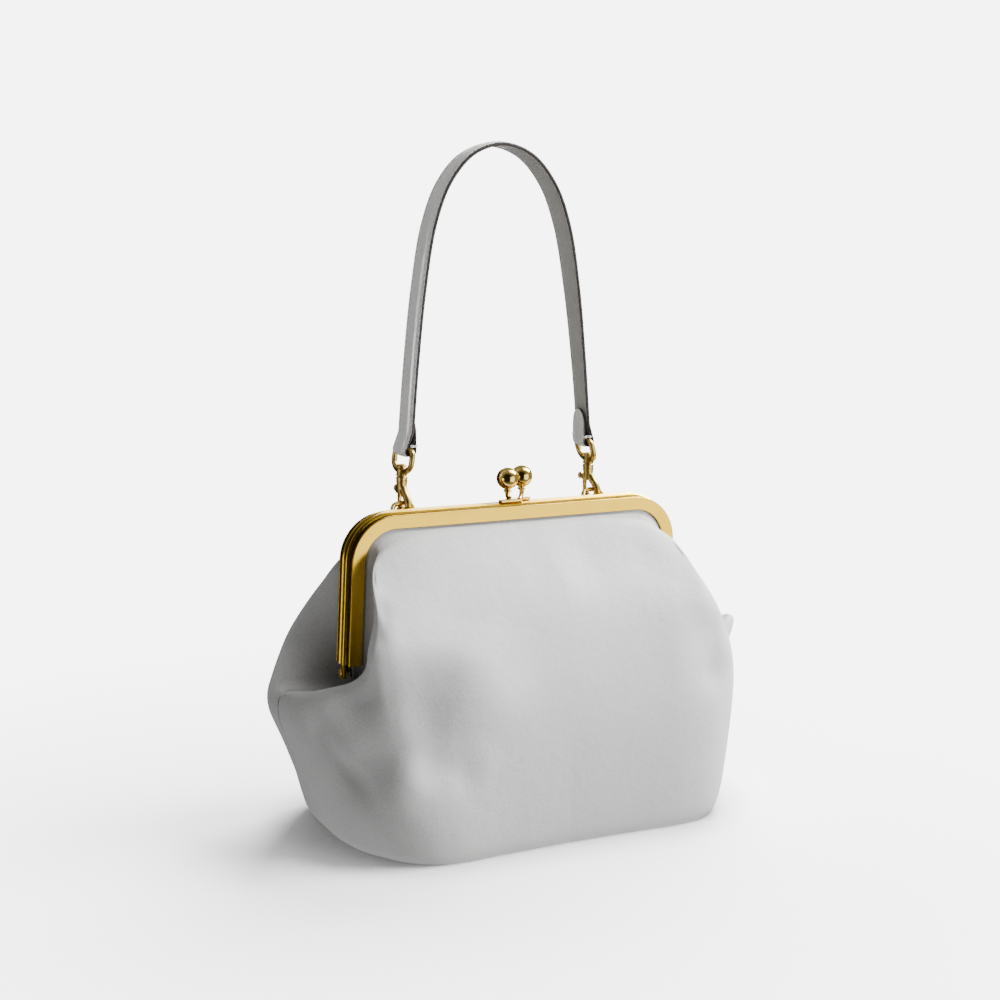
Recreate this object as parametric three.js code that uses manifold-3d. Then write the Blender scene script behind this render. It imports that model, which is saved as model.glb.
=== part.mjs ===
// Kiss lock frame bag: a soft leather pouch gripped by a hinged metal frame, with a leather
// top handle on two swivel snap hooks. Millimetres, +Z up, front of the bag toward -Y.
// The origin is on the floor, under the middle of the bag.
import * as THREE from 'three';
import { mergeVertices } from 'three/addons/utils/BufferGeometryUtils.js';
import Module from 'manifold-3d';

const radians = THREE.MathUtils.degToRad;

// Clearance kept between neighbouring pieces
const GAP = 0.3;
const BORE_GAP = 0.4;

// Metal frame: outer lip line in the XZ plane
const FRAME_TOP_Z = 178.4;
const FRAME_HALF_WIDTH = 102.4;
const FRAME_CORNER_R = 27;
const LEG_SPLAY = radians(2.8);
const LEG_END_Z = 97;
const CORNER_STEPS = 6;

// Channel section: depth inward from the lip line, distance from the mating plane
const LIP_INSIDE = 2.2;
const LIP_WIDTH = 3.7;
const FLANGE_END = 8.8;
const FLANGE_FACE = 9.4;
const FLANGE_THICK = 0.9;
const CHANNEL_FLOOR = 3.3;
const CHANNEL_WIDTH = 2.6;

// Hinge at the foot of each leg
const PIVOT_Z = 91.9;
const EYE_R = 3.5;
const EYE_THICK = 1.1;
const EYE_NECK_Z = 100;
const RIVET_R = 1.3;
const RIVET_HEAD_R = 2.5;
const RIVET_HEAD_H = 1.0;

// Leather pouch
const LEATHER = 2;
const LEATHER_FACE = 8.2;
const TUCK_DEPTH = 3.8;
const TUCK_EXIT = 9.0;

// Kiss lock
const CLASP_X = 1.2;
const BEAD_R = 6.2;
const BEAD_Z = 192.4;
const BEAD_OFFSET_X = 5.8;
const BEAD_OFFSET_Y = 2.6;
const PLATE_FAR_X = 10.5;
const PLATE_NEAR_X = 3.2;
const PLATE_THICK = 1.8;
const PLATE_WIDTH = 3.8;
const STEM_R = 1.35;

// Handle strap and its swivel hooks
const HANDLE_X = -0.8;
const ARCH_X = -1.2;
const HANDLE_Y = 17;
const HOOK_SPREAD = 59.6;
const SWIVEL_Z = 195;
const HOOK_WIRE_R = 1.45;
const HOOK_WIRE_HALF_WIDTH = 1.65;
const PIN_R = 0.8;
const PIN_AT = new THREE.Vector2(-1.3, -7.8);
const SLOT_WIDTH = 2.4;
const EYE_WIRE_R = 1.25;
const EYE_HALF_WIDTH = 11.5;
const EYE_HALF_HEIGHT = 6.4;
const EYE_LEAN_Z = 2;
const LOOP_WIRE_R = 1.2;
const LOOP_X = -0.75;
const LOOP_SPREAD = 60.6;
const LOOP_CROWN_Z = 179.9;
const STRAP_WIDTH = 18.5;
const STRAP_THICK = 2.8;
const FOLD_THICK = 1.7;
const FOLD_WIDTH = 17.5;
const FOLD_SLACK = 0.4;
const TAB_LENGTH = 18;
const TAB_TIP = 9;
const STRAP_BEVEL = 0.5;
const TWIST_END_Z = 345;

// Pouch sections along half of the front mouth, from the side seam to the middle.
// run: length along the frame from the leg end; then the line from the frame down:
// throat of the leg well, rim of the well, shoulder, belly and foot, each as x, y, z.
const POUCH_STATIONS = [
  {
    run: 0, throat: [-99, 0, 79], rim: [-134, 0, 85.5],
    shoulder: [-138.5, 0, 76], belly: [-132, 0, 45], foot: [-113, 0, 6],
  },
  {
    run: 0, throat: [-98, -13, 86], rim: [-128, -15, 88],
    shoulder: [-134, -18, 76], belly: [-128, -21, 46], foot: [-112, -18, 6],
  },
  {
    run: 16, throat: [-95, -19, 106], rim: [-118, -37, 98],
    shoulder: [-123, -40, 83], belly: [-120, -43, 50], foot: [-110, -40, 6],
  },
  {
    run: 36, throat: [-93.5, -19, 127], rim: [-111, -43, 115],
    shoulder: [-113, -52, 96], belly: [-110, -57, 56], foot: [-103, -56, 6],
  },
  {
    run: 56, throat: [-91.5, -16, 147], rim: [-102.5, -37, 134],
    shoulder: [-100, -53, 109], belly: [-97, -64, 62], foot: [-90, -67, 6],
  },
  {
    run: 78, throat: [-86, -11.5, 161.5], rim: [-92, -21, 153],
    shoulder: [-81, -48, 118], belly: [-77, -65.5, 66], foot: [-70, -70, 6],
  },
  {
    run: 112, throat: [-62, -10.5, 167.6], rim: [-62, -16, 162.5],
    shoulder: [-50, -45, 120], belly: [-45, -64, 68], foot: [-38, -68.5, 6],
  },
  {
    run: 173, throat: [0, -10.5, 167.6], rim: [0, -15, 162.5],
    shoulder: [0, -45, 120], belly: [0, -63.5, 68], foot: [0, -67.5, 6],
  },
];
const POUCH_LINES = ['throat', 'rim', 'shoulder', 'belly', 'foot'];
const SEAM_TOP = { tuck: [-97.5, 0, 84.5], exit: [-94.5, 0, 83.5] };
// Rows between one line and the next: tuck to exit, exit to throat and so on to the base edge
const ROWS_BETWEEN = [1, 2, 3, 2, 2, 2, 2];
// Columns between one station and the next
const COLUMNS_BETWEEN = [3, 3, 2, 2, 3, 2, 2];
const BASE_INSET = 0.96;
const SEAM_HALF_GAP = 0.15;

// Swells, tucks and dents of the soft sides: a line from a to b, its reach and the push there
const POUCH_FOLDS = [
  { fold: 'front left hollow', a: [-120, -38, 92], b: [-114, -45, 50], reach: 20, push: [5, 3, 0] },
  { fold: 'front left rim', a: [-113, -40, 112], b: [-104, -38, 134], reach: 16, push: [4, 0, 0] },
  { fold: 'front left heel', a: [-108, -45, 0], b: [-95, -66, 0], reach: 24, push: [9, 3, 0] },
  { fold: 'back left swell', a: [-132, 18, 90], b: [-126, 28, 100], reach: 25, push: [-9, 2, 0] },
  { fold: 'front left diagonal', a: [-129, -24, 66], b: [-92, -63, 24], reach: 9, push: [2, 2.5, 0] },
  { fold: 'front left dent', a: [-109, -52, 82], b: [-84, -63, 72], reach: 14, push: [1, 3.5, 0] },
  { fold: 'right seam tip', a: [139, 0, 82], b: [131, 0, 90], reach: 14, push: [4.8, 0, 6] },
];

// Outer face of the handle from the fold to the crown: half span and height
const HANDLE_ARCH = [
  { x: 58.0, z: 219 },
  { x: 54.9, z: 255 },
  { x: 49.9, z: 298 },
  { x: 43.3, z: 333 },
  { x: 33.8, z: 356 },
  { x: 19.0, z: 372 },
  { x: 0, z: 377.8 },
];

// Centre line of the hook arm in the hook plane: reach from the swivel axis, drop
const HOOK_ARM = [
  { reach: 0.4, drop: -5.5 },
  { reach: 2.6, drop: -9.2 },
  { reach: 5.2, drop: -12.8 },
  { reach: 6.3, drop: -16 },
  { reach: 5.4, drop: -19 },
  { reach: 2.4, drop: -20.8 },
  { reach: -0.6, drop: -19.9 },
  { reach: -1.7, drop: -17.8 },
];

// Each hook: side of the bag, the direction that its arm points from +X, how far its ring leans
// toward the middle of the bag, and the turn of ring and strap end about the swivel axis
const HOOKS = [
  { side: 'left', sign: -1, yaw: radians(-80), lean: radians(8), turn: 0 },
  { side: 'right', sign: 1, yaw: radians(-60), lean: radians(15), turn: radians(8) },
];

const wasm = await Module();
wasm.setup();

const vec = (x, y, z) => new THREE.Vector3(x, y, z);

// Closed geometry from points and triangles, turned so that its faces point out
function solid(points, triangles) {
  let volume = 0;
  for (const [a, b, c] of triangles) {
    volume += points[a].dot(new THREE.Vector3().crossVectors(points[b], points[c]));
  }
  const order = volume < 0 ? [0, 2, 1] : [0, 1, 2];
  const geometry = new THREE.BufferGeometry();
  geometry.setAttribute('position', new THREE.Float32BufferAttribute(points.flatMap((p) => p.toArray()), 3));
  geometry.setIndex(triangles.flatMap((t) => order.map((k) => t[k])));
  return geometry;
}

// Skin over rings of equal count; open ends are capped by the section's own triangles
function skin(rings, section, closed = false) {
  const count = section.length;
  const points = rings.flat();
  const triangles = [];
  const last = closed ? rings.length : rings.length - 1;
  for (let i = 0; i < last; i += 1) {
    const next = (i + 1) % rings.length;
    for (let j = 0; j < count; j += 1) {
      const k = (j + 1) % count;
      triangles.push([i * count + j, next * count + j, next * count + k]);
      triangles.push([i * count + j, next * count + k, i * count + k]);
    }
  }
  if (!closed) {
    const end = (rings.length - 1) * count;
    const winding = THREE.ShapeUtils.isClockWise(section) ? -1 : 1;
    for (const [a, b, c] of THREE.ShapeUtils.triangulateShape(section, [])) {
      const cap = winding > 0 ? [a, b, c] : [a, c, b];
      triangles.push([cap[0], cap[1], cap[2]]);
      triangles.push([end + cap[0], end + cap[2], end + cap[1]]);
    }
  }
  return solid(points, triangles);
}

function toManifold(geometry) {
  const bare = geometry.clone();
  bare.deleteAttribute('normal');
  bare.deleteAttribute('uv');
  const merged = mergeVertices(bare, 1e-4);
  return new wasm.Manifold(new wasm.Mesh({
    numProp: 3,
    vertProperties: new Float32Array(merged.attributes.position.array),
    triVerts: new Uint32Array(merged.index.array),
  }));
}

function fromManifold(manifold) {
  const mesh = manifold.getMesh();
  const geometry = new THREE.BufferGeometry();
  geometry.setAttribute('position', new THREE.BufferAttribute(new Float32Array(mesh.vertProperties), 3));
  geometry.setIndex(Array.from(mesh.triVerts));
  return geometry;
}

function join(first, ...others) {
  return fromManifold(others.reduce((whole, g) => whole.add(toManifold(g)), toManifold(first)));
}

function cut(body, ...tools) {
  return fromManifold(tools.reduce((whole, g) => whole.subtract(toManifold(g)), toManifold(body)));
}

// Turned piece about an axis through the origin along Z: rows of radius and height
function turned(profile, segments) {
  const points = profile.map(([r, z]) => new THREE.Vector2(r, z));
  return new THREE.LatheGeometry(points, segments).rotateX(Math.PI / 2);
}

function circleSection(radius, sides) {
  return Array.from({ length: sides }, (_, k) => {
    const angle = (2 * Math.PI * (k + 0.5)) / sides;
    return new THREE.Vector2(radius * Math.cos(angle), radius * Math.sin(angle));
  });
}

function rod(curve, radius, sides, steps) {
  const shape = new THREE.Shape(circleSection(radius, sides));
  return new THREE.ExtrudeGeometry(shape, { steps, extrudePath: curve, bevelEnabled: false });
}

// Point of the frame in the XZ plane, on the left half: run from the leg end, inset from the lip
const CORNER_CENTRE = new THREE.Vector2(
  -FRAME_HALF_WIDTH + FRAME_CORNER_R * Math.cos(LEG_SPLAY),
  FRAME_TOP_Z - FRAME_CORNER_R,
);
const LEG_TOP_Z = CORNER_CENTRE.y + FRAME_CORNER_R * Math.sin(LEG_SPLAY);
const LEG_RUN = (LEG_TOP_Z - LEG_END_Z) / Math.cos(LEG_SPLAY);
const CORNER_RUN = FRAME_CORNER_R * (Math.PI / 2 - LEG_SPLAY);
const HALF_RUN = LEG_RUN + CORNER_RUN - CORNER_CENTRE.x;

function framePoint(run, inset) {
  if (run <= LEG_RUN) {
    const below = LEG_RUN - run;
    return new THREE.Vector2(
      -FRAME_HALF_WIDTH - below * Math.sin(LEG_SPLAY) + inset * Math.cos(LEG_SPLAY),
      LEG_TOP_Z - below * Math.cos(LEG_SPLAY) - inset * Math.sin(LEG_SPLAY),
    );
  }
  if (run <= LEG_RUN + CORNER_RUN) {
    const angle = LEG_SPLAY + (run - LEG_RUN) / FRAME_CORNER_R;
    const radius = FRAME_CORNER_R - inset;
    return new THREE.Vector2(
      CORNER_CENTRE.x - radius * Math.cos(angle),
      CORNER_CENTRE.y + radius * Math.sin(angle),
    );
  }
  return new THREE.Vector2(CORNER_CENTRE.x + run - LEG_RUN - CORNER_RUN, FRAME_TOP_Z - inset);
}

// Section of one frame half: beaded lip, sloping wall and the channel that grips the leather
const FRAME_SECTION = [
  [LIP_INSIDE, SEAM_HALF_GAP], [0.5, SEAM_HALF_GAP], [0.1, 0.9], [0, 1.9], [0.2, 3], [0.7, LIP_WIDTH],
  [1.9, 8.4], [2.3, 9.1], [2.9, FLANGE_FACE], [FLANGE_END, FLANGE_FACE],
  [FLANGE_END, FLANGE_FACE - FLANGE_THICK], [CHANNEL_FLOOR, FLANGE_FACE - FLANGE_THICK],
  [CHANNEL_FLOOR, FLANGE_FACE - FLANGE_THICK - CHANNEL_WIDTH],
  [FLANGE_END, FLANGE_FACE - FLANGE_THICK - CHANNEL_WIDTH],
  [FLANGE_END, FLANGE_FACE - 2 * FLANGE_THICK - CHANNEL_WIDTH],
  [LIP_INSIDE + 0.4, FLANGE_FACE - 2 * FLANGE_THICK - CHANNEL_WIDTH],
].map(([inset, depth]) => new THREE.Vector2(inset, depth));

function channel(facing) {
  const runs = [0];
  for (let k = 0; k <= CORNER_STEPS; k += 1) {
    runs.push(LEG_RUN + (CORNER_RUN * k) / CORNER_STEPS);
  }
  const ring = (run, mirror) => FRAME_SECTION.map(({ x: inset, y: depth }) => {
    const p = framePoint(run, inset);
    return vec(mirror * p.x, facing * depth, p.y);
  });
  const rings = runs.map((run) => ring(run, 1));
  rings.push(...runs.toReversed().map((run) => ring(run, -1)));
  return skin(rings, FRAME_SECTION);
}

// Flat hinge eye below a leg: a plate in the YZ plane, its neck rising into the lip
function hingeEye(facing, mirror, layer) {
  const outer = framePoint(0, 0).x + layer;
  const neckNear = facing * (SEAM_HALF_GAP + GAP);
  const neckFar = facing * (LIP_WIDTH - 0.4);
  const shape = new THREE.Shape();
  const start = facing > 0 ? 0 : Math.PI;
  shape.moveTo(neckFar, EYE_NECK_Z - PIVOT_Z);
  for (let k = 0; k <= 10; k += 1) {
    const angle = start - facing * (Math.PI * 1.06 * k) / 10;
    shape.lineTo(EYE_R * Math.cos(angle), EYE_R * Math.sin(angle));
  }
  shape.lineTo(neckNear, LEG_END_Z - PIVOT_Z);
  shape.lineTo(neckNear, EYE_NECK_Z - PIVOT_Z);
  shape.holes.push(new THREE.Path(circleSection(RIVET_R + BORE_GAP, 10)));
  const plate = new THREE.ExtrudeGeometry(shape, { depth: EYE_THICK, bevelEnabled: false });
  plate.applyMatrix4(new THREE.Matrix4().makeBasis(vec(0, 1, 0), vec(0, 0, 1), vec(1, 0, 0)));
  plate.translate(outer, 0, PIVOT_Z);
  return mirror > 0 ? plate : mirrorX(plate);
}

function mirrorX(geometry) {
  const mirrored = geometry.clone().scale(-1, 1, 1);
  const index = mirrored.index ?? new THREE.BufferAttribute(
    new Uint32Array(mirrored.attributes.position.count).map((_, k) => k), 1);
  const order = Array.from(index.array);
  for (let k = 0; k < order.length; k += 3) {
    [order[k + 1], order[k + 2]] = [order[k + 2], order[k + 1]];
  }
  mirrored.setIndex(order);
  return mirrored;
}

// Front eyes lie outside the back eyes
const EYE_LAYER = { front: 0.1, back: 0.1 + EYE_THICK + GAP };

function frameHalf(name) {
  const facing = name === 'front' ? -1 : 1;
  const pieces = [1, -1].map((mirror) => hingeEye(facing, mirror, EYE_LAYER[name]));
  return join(channel(facing), ...pieces);
}

// Wire staple behind the back frame half, which the hook holds: half span, y and drop of its rows
const LOOP_ROWS = [[6.2, 9.9, -8.6], [6.6, 10.5, -6.2], [6.6, 12.6, -3.4], [4.8, 14.5, -0.9], [0, 15, 0]];

function strapLoop(x) {
  const side = (sign) => LOOP_ROWS.map(([span, y, drop]) => vec(x + sign * span, y, LOOP_CROWN_Z + drop));
  const path = [...side(-1), ...side(1).toReversed().slice(1)];
  return rod(new THREE.CatmullRomCurve3(path), LOOP_WIRE_R, 8, 12);
}

function pivotRivet(mirror) {
  const outer = framePoint(0, 0).x + EYE_LAYER.front - GAP;
  const inner = framePoint(0, 0).x + EYE_LAYER.back + EYE_THICK + GAP;
  const rivet = turned([
    [0, outer - RIVET_HEAD_H], [RIVET_HEAD_R * 0.6, outer - RIVET_HEAD_H * 0.8],
    [RIVET_HEAD_R, outer - RIVET_HEAD_H * 0.2], [RIVET_HEAD_R, outer], [RIVET_R, outer],
    [RIVET_R, inner], [RIVET_HEAD_R * 0.8, inner], [RIVET_HEAD_R * 0.7, inner + RIVET_HEAD_H * 0.8],
    [0, inner + RIVET_HEAD_H * 0.8],
  ], 12).rotateY(Math.PI / 2).translate(0, 0, PIVOT_Z);
  return mirror > 0 ? rivet : mirrorX(rivet);
}

// Front clasp: a plate on the lip whose right end rises into the stem of the right bead
function frontClasp() {
  const seat = FRAME_TOP_Z + GAP;
  const plateY = -SEAM_HALF_GAP - GAP - PLATE_WIDTH / 2;
  const plate = new THREE.BoxGeometry(PLATE_FAR_X + PLATE_NEAR_X, PLATE_WIDTH, PLATE_THICK)
    .translate((PLATE_NEAR_X - PLATE_FAR_X) / 2, plateY, seat + PLATE_THICK / 2);
  const bead = turned([
    [0, -BEAD_R], [1.6, -BEAD_R + 0.2],
    ...Array.from({ length: 8 }, (_, k) => {
      const angle = radians(-62 + (144 * k) / 7);
      return [BEAD_R * Math.cos(angle), BEAD_R * Math.sin(angle)];
    }),
    [0, BEAD_R],
  ], 14).translate(BEAD_OFFSET_X, BEAD_OFFSET_Y, BEAD_Z);
  const foot = vec(PLATE_NEAR_X - 1.6, plateY, seat + STEM_R + 0.1);
  const stem = rod(new THREE.QuadraticBezierCurve3(
    foot,
    vec(PLATE_NEAR_X + 1.2, -1.2, seat + PLATE_THICK),
    vec(BEAD_OFFSET_X, BEAD_OFFSET_Y, BEAD_Z - BEAD_R + 1),
  ), STEM_R, 8, 6);
  const collar = turned([[0, -1.6], [2, -1.6], [2.3, -0.9], [2, 0.4], [0, 0.4]], 10)
    .translate(BEAD_OFFSET_X, BEAD_OFFSET_Y, BEAD_Z - BEAD_R);
  return join(plate, bead, stem, collar).translate(CLASP_X, 0, 0);
}

// Catmull-Rom value through rows of numbers at a fractional row
function blendRows(rows, at) {
  const i = Math.min(Math.floor(at), rows.length - 2);
  const f = at - i;
  return rows[i].map((_, c) => {
    const p1 = rows[i][c];
    const p2 = rows[i + 1][c];
    const p0 = i > 0 ? rows[i - 1][c] : 2 * p1 - p2;
    const p3 = i + 2 < rows.length ? rows[i + 2][c] : 2 * p2 - p1;
    const start = (2 * f ** 3 - 3 * f ** 2 + 1) * p1 + (f ** 3 - 2 * f ** 2 + f) * (p2 - p0) / 2;
    const finish = (3 * f ** 2 - 2 * f ** 3) * p2 + (f ** 3 - f ** 2) * (p3 - p1) / 2;
    return start + finish;
  });
}

// One column of the pouch face, from the tuck in the channel down to the seam under the base
function pouchColumn(at) {
  const [reached] = blendRows(POUCH_STATIONS.map((s) => [s.run]), at);
  const run = at > 1 ? THREE.MathUtils.clamp(reached, 0, HALF_RUN) : 0;
  const mouth = [TUCK_DEPTH, TUCK_EXIT].map((inset) => framePoint(run, inset));
  const [tuck, exit] = mouth.map((p) => vec(p.x, -LEATHER_FACE, p.y));
  if (at < 1) {
    const rise = at ** 1.5;
    tuck.lerp(vec(...SEAM_TOP.tuck), 1 - rise);
    exit.lerp(vec(...SEAM_TOP.exit), 1 - rise);
  }
  const lines = POUCH_LINES.map((line) => vec(...blendRows(POUCH_STATIONS.map((s) => s[line]), at)));
  const foot = lines.at(-1);
  const edge = vec(foot.x * BASE_INSET, foot.y * BASE_INSET, 0);
  const curve = new THREE.CatmullRomCurve3([tuck, exit, ...lines, edge]);
  const spans = ROWS_BETWEEN.length;
  const column = [tuck.clone()];
  ROWS_BETWEEN.forEach((rows, span) => {
    for (let k = 1; k <= rows; k += 1) {
      column.push(curve.getPoint((span + k / rows) / spans));
    }
  });
  column.push(vec(edge.x * 0.97, edge.y * 0.5, 0), vec(edge.x * 0.95, 0, 0));
  return column;
}

function pushFolds(point, row) {
  const free = THREE.MathUtils.smoothstep(row, 1, 4);
  const moved = point.clone();
  for (const { a, b, reach, push } of POUCH_FOLDS) {
    const line = new THREE.Line3(vec(...a), vec(...b));
    const near = line.closestPointToPoint(point, true, vec(0, 0, 0));
    moved.addScaledVector(vec(...push), free * Math.exp(-near.distanceToSquared(point) / reach ** 2));
  }
  return moved;
}

// Half of the pouch: facing -1 is the front panel, 1 the back
function pouchPanel(facing) {
  const left = [pouchColumn(0)];
  COLUMNS_BETWEEN.forEach((count, station) => {
    for (let k = 1; k <= count; k += 1) {
      left.push(pouchColumn(station + k / count));
    }
  });
  const right = left.slice(0, -1).toReversed().map((column) => column.map((p) => vec(-p.x, p.y, p.z)));
  const columns = [...left, ...right];
  const lastColumn = columns.length - 1;
  const lastRow = columns[0].length - 1;
  const seamed = (i, j) => i === 0 || i === lastColumn || j === lastRow;
  const outer = columns.map((column, i) => column.map((p, j) => {
    const moved = pushFolds(vec(p.x, -facing * p.y, p.z), j);
    const depth = Math.max(facing * moved.y, SEAM_HALF_GAP);
    return vec(moved.x, facing * (seamed(i, j) ? SEAM_HALF_GAP : depth), moved.z);
  }));
  const inner = outer.map((column, i) => column.map((p, j) => {
    const along = outer[Math.min(i + 1, lastColumn)][j].clone().sub(outer[Math.max(i - 1, 0)][j]);
    const down = outer[i][Math.min(j + 1, lastRow)].clone().sub(outer[i][Math.max(j - 1, 0)]);
    const normal = along.cross(down).multiplyScalar(facing);
    if (seamed(i, j)) {
      normal.y = 0;
    } else if (j < 2 && facing * p.y > LEATHER_FACE - 0.01) {
      normal.set(0, facing, 0);
    }
    const q = p.clone().addScaledVector(normal.normalize(), -LEATHER);
    if (p.z < 1e-6) {
      q.set(p.x * BASE_INSET, p.y * BASE_INSET, LEATHER);
    }
    q.y = facing * (seamed(i, j) ? SEAM_HALF_GAP : Math.max(facing * q.y, SEAM_HALF_GAP));
    return q;
  }));
  const rows = lastRow + 1;
  const points = [...outer.flat(), ...inner.flat()];
  const offset = columns.length * rows;
  const at = (i, j) => i * rows + j;
  const triangles = [];
  const quad = (a, b, c, d) => triangles.push([a, b, c], [a, c, d]);
  for (let i = 0; i < lastColumn; i += 1) {
    for (let j = 0; j < lastRow; j += 1) {
      quad(at(i, j), at(i + 1, j), at(i + 1, j + 1), at(i, j + 1));
      quad(offset + at(i, j), offset + at(i, j + 1), offset + at(i + 1, j + 1), offset + at(i + 1, j));
    }
    quad(at(i + 1, 0), at(i, 0), offset + at(i, 0), offset + at(i + 1, 0));
    quad(at(i, lastRow), at(i + 1, lastRow), offset + at(i + 1, lastRow), offset + at(i, lastRow));
  }
  for (let j = 0; j < lastRow; j += 1) {
    quad(at(0, j), at(0, j + 1), offset + at(0, j + 1), offset + at(0, j));
    const [upper, lower] = [at(lastColumn, j), at(lastColumn, j + 1)];
    quad(lower, upper, offset + upper, offset + lower);
  }
  return solid(points, triangles);
}

// Hook, its lever and pin stand in the XZ plane about the swivel axis, swivel groove at z = 0.
// A round rod across that plane, centred on the lever's pin
function crossRod(radius, length, sides) {
  return new THREE.CylinderGeometry(radius, radius, length, sides).translate(PIN_AT.x, 0, PIN_AT.y);
}

function hookBody() {
  const barrel = turned([
    [0, -10], [1.6, -9.6], [2.5, -8], [2.6, -5], [2.9, -3], [2.9, -0.8], [2.5, -GAP], [1.4, -GAP],
    [1.4, 4.9], [2.3, 4.9], [2.3, 5.8], [1.5, 6.4], [0, 6.5],
  ], 10);
  const curve = new THREE.CatmullRomCurve3(HOOK_ARM.map(({ reach, drop }) => vec(reach, 0, drop)));
  const arm = rod(curve, HOOK_WIRE_R, 8, 12).scale(1, HOOK_WIRE_HALF_WIDTH / HOOK_WIRE_R, 1);
  const cheek = crossRod(2.1, 4.8, 12);
  const slot = new THREE.BoxGeometry(5, SLOT_WIDTH, 12).translate(PIN_AT.x - 0.7, 0, PIN_AT.y - 2.6);
  return cut(join(barrel, arm, cheek), slot, crossRod(PIN_R + BORE_GAP, 8, 8));
}

function hookLever() {
  const width = SLOT_WIDTH - 2 * GAP;
  const shape = new THREE.Shape();
  shape.moveTo(-1.35, 1.5);
  shape.lineTo(-2.9, 1.4);
  shape.absarc(-3.3, 0.7, 1.0, Math.PI / 2, Math.PI * 1.5, false);
  shape.lineTo(-1.5, -0.6);
  shape.lineTo(-1.3, -8.0);
  shape.lineTo(0.2, -8.0);
  shape.lineTo(0.55, -1.2);
  shape.absarc(0, 0, 1.4, -1.0, Math.PI / 2 + 0.3, false);
  const blade = new THREE.ExtrudeGeometry(shape, { depth: width, bevelEnabled: false, curveSegments: 6 });
  blade.rotateX(Math.PI / 2).translate(PIN_AT.x, width / 2, PIN_AT.y);
  const knob = new THREE.SphereGeometry(2.1, 10, 6)
    .scale(0.8, 0.9, 1)
    .translate(PIN_AT.x - 3.7, 0, PIN_AT.y + 0.5);
  return cut(join(blade, knob), crossRod(PIN_R + BORE_GAP, 8, 8));
}

function leverPin() {
  return crossRod(PIN_R, 5, 10);
}

// Oval strap ring over the swivel, with the collar that turns on the hook's stud;
// the ring leans toward the middle of the bag
function hookEye(lean) {
  const section = circleSection(EYE_WIRE_R, 8);
  const centreZ = EYE_WIRE_R + EYE_HALF_HEIGHT + 0.6;
  const count = 18;
  const rings = Array.from({ length: count }, (_, k) => {
    const angle = (2 * Math.PI * k) / count;
    const round = Math.sin(angle) > 0 ? 0.5 : 0.9;
    const c = Math.sign(Math.cos(angle)) * Math.abs(Math.cos(angle)) ** round;
    const s = Math.sign(Math.sin(angle)) * Math.abs(Math.sin(angle)) ** round;
    const centre = vec(0, EYE_HALF_WIDTH * c, centreZ + EYE_HALF_HEIGHT * s);
    const out = vec(0, Math.cos(angle) * EYE_HALF_HEIGHT, Math.sin(angle) * EYE_HALF_WIDTH).normalize();
    return section.map(({ x, y }) => centre.clone().addScaledVector(out, x).add(vec(y, 0, 0)));
  });
  const ring = skin(rings, section, true);
  ring.translate(0, 0, -EYE_LEAN_Z).rotateY(lean).translate(0, 0, EYE_LEAN_Z);
  const collar = turned([[0, 0], [2.7, 0], [2.9, 0.7], [2.6, 3.6], [2.2, 4.6], [0, 4.6]], 12);
  const bore = new THREE.CylinderGeometry(1.4 + BORE_GAP, 1.4 + BORE_GAP, 12, 10).rotateX(Math.PI / 2);
  const well = new THREE.CylinderGeometry(4, 4, 4, 12).rotateX(Math.PI / 2).translate(0, 0, 6.6);
  return cut(join(cut(ring, well), collar), bore);
}

// Half of the strap, from the tip of its tab round the ring's top wire and up to the crown.
// Rows: centre, outward normal across the thickness, direction of the width, thickness, width
function strapHalf({ sign, lean, turn }) {
  const rise = 2 * EYE_HALF_HEIGHT + EYE_WIRE_R + 0.6 - EYE_LEAN_Z;
  const ringX = HANDLE_X + sign * (HOOK_SPREAD - rise * Math.sin(lean));
  const foldZ = SWIVEL_Z + EYE_LEAN_Z + rise * Math.cos(lean) - FOLD_SLACK;
  const foldR = EYE_WIRE_R + GAP + FOLD_SLACK + FOLD_THICK / 2;
  const rows = [];
  const add = (x, z, out, up, angle, thick, width) => {
    const centre = vec(x, HANDLE_Y, z);
    const across = vec(sign * out * Math.cos(angle), -sign * out * Math.sin(angle), up);
    const along = vec(Math.sin(angle), Math.cos(angle), 0);
    rows.push({ centre, across, along, thick, width });
  };
  const tipSteps = 5;
  for (let k = 0; k <= tipSteps; k += 1) {
    const part = (Math.PI / 2) * (k / tipSteps);
    const z = foldZ + TAB_LENGTH - TAB_TIP * (1 - Math.cos(part));
    const width = FOLD_WIDTH * Math.max(0.06, Math.sin(part) ** 0.8);
    add(ringX - sign * foldR, z, -1, 0, turn, FOLD_THICK * 0.8, width);
  }
  for (let k = 0; k <= 6; k += 1) {
    const angle = (Math.PI * k) / 6;
    const x = ringX - sign * foldR * Math.cos(angle);
    add(x, foldZ - foldR * Math.sin(angle), -Math.cos(angle), -Math.sin(angle), turn, FOLD_THICK, FOLD_WIDTH);
  }
  const face = new THREE.CatmullRomCurve3(HANDLE_ARCH.map(({ x, z }) => vec(x, 0, z)));
  const steps = 12;
  for (let k = 0; k <= steps; k += 1) {
    const p = face.getPointAt(k / steps);
    const t = face.getTangentAt(k / steps);
    const angle = turn * (1 - THREE.MathUtils.smoothstep(p.z, foldZ, TWIST_END_Z));
    const x = ARCH_X + sign * (p.x - t.z * STRAP_THICK / 2);
    add(x, p.z + t.x * STRAP_THICK / 2, t.z, -t.x, angle, STRAP_THICK, STRAP_WIDTH);
  }
  return rows;
}

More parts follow.
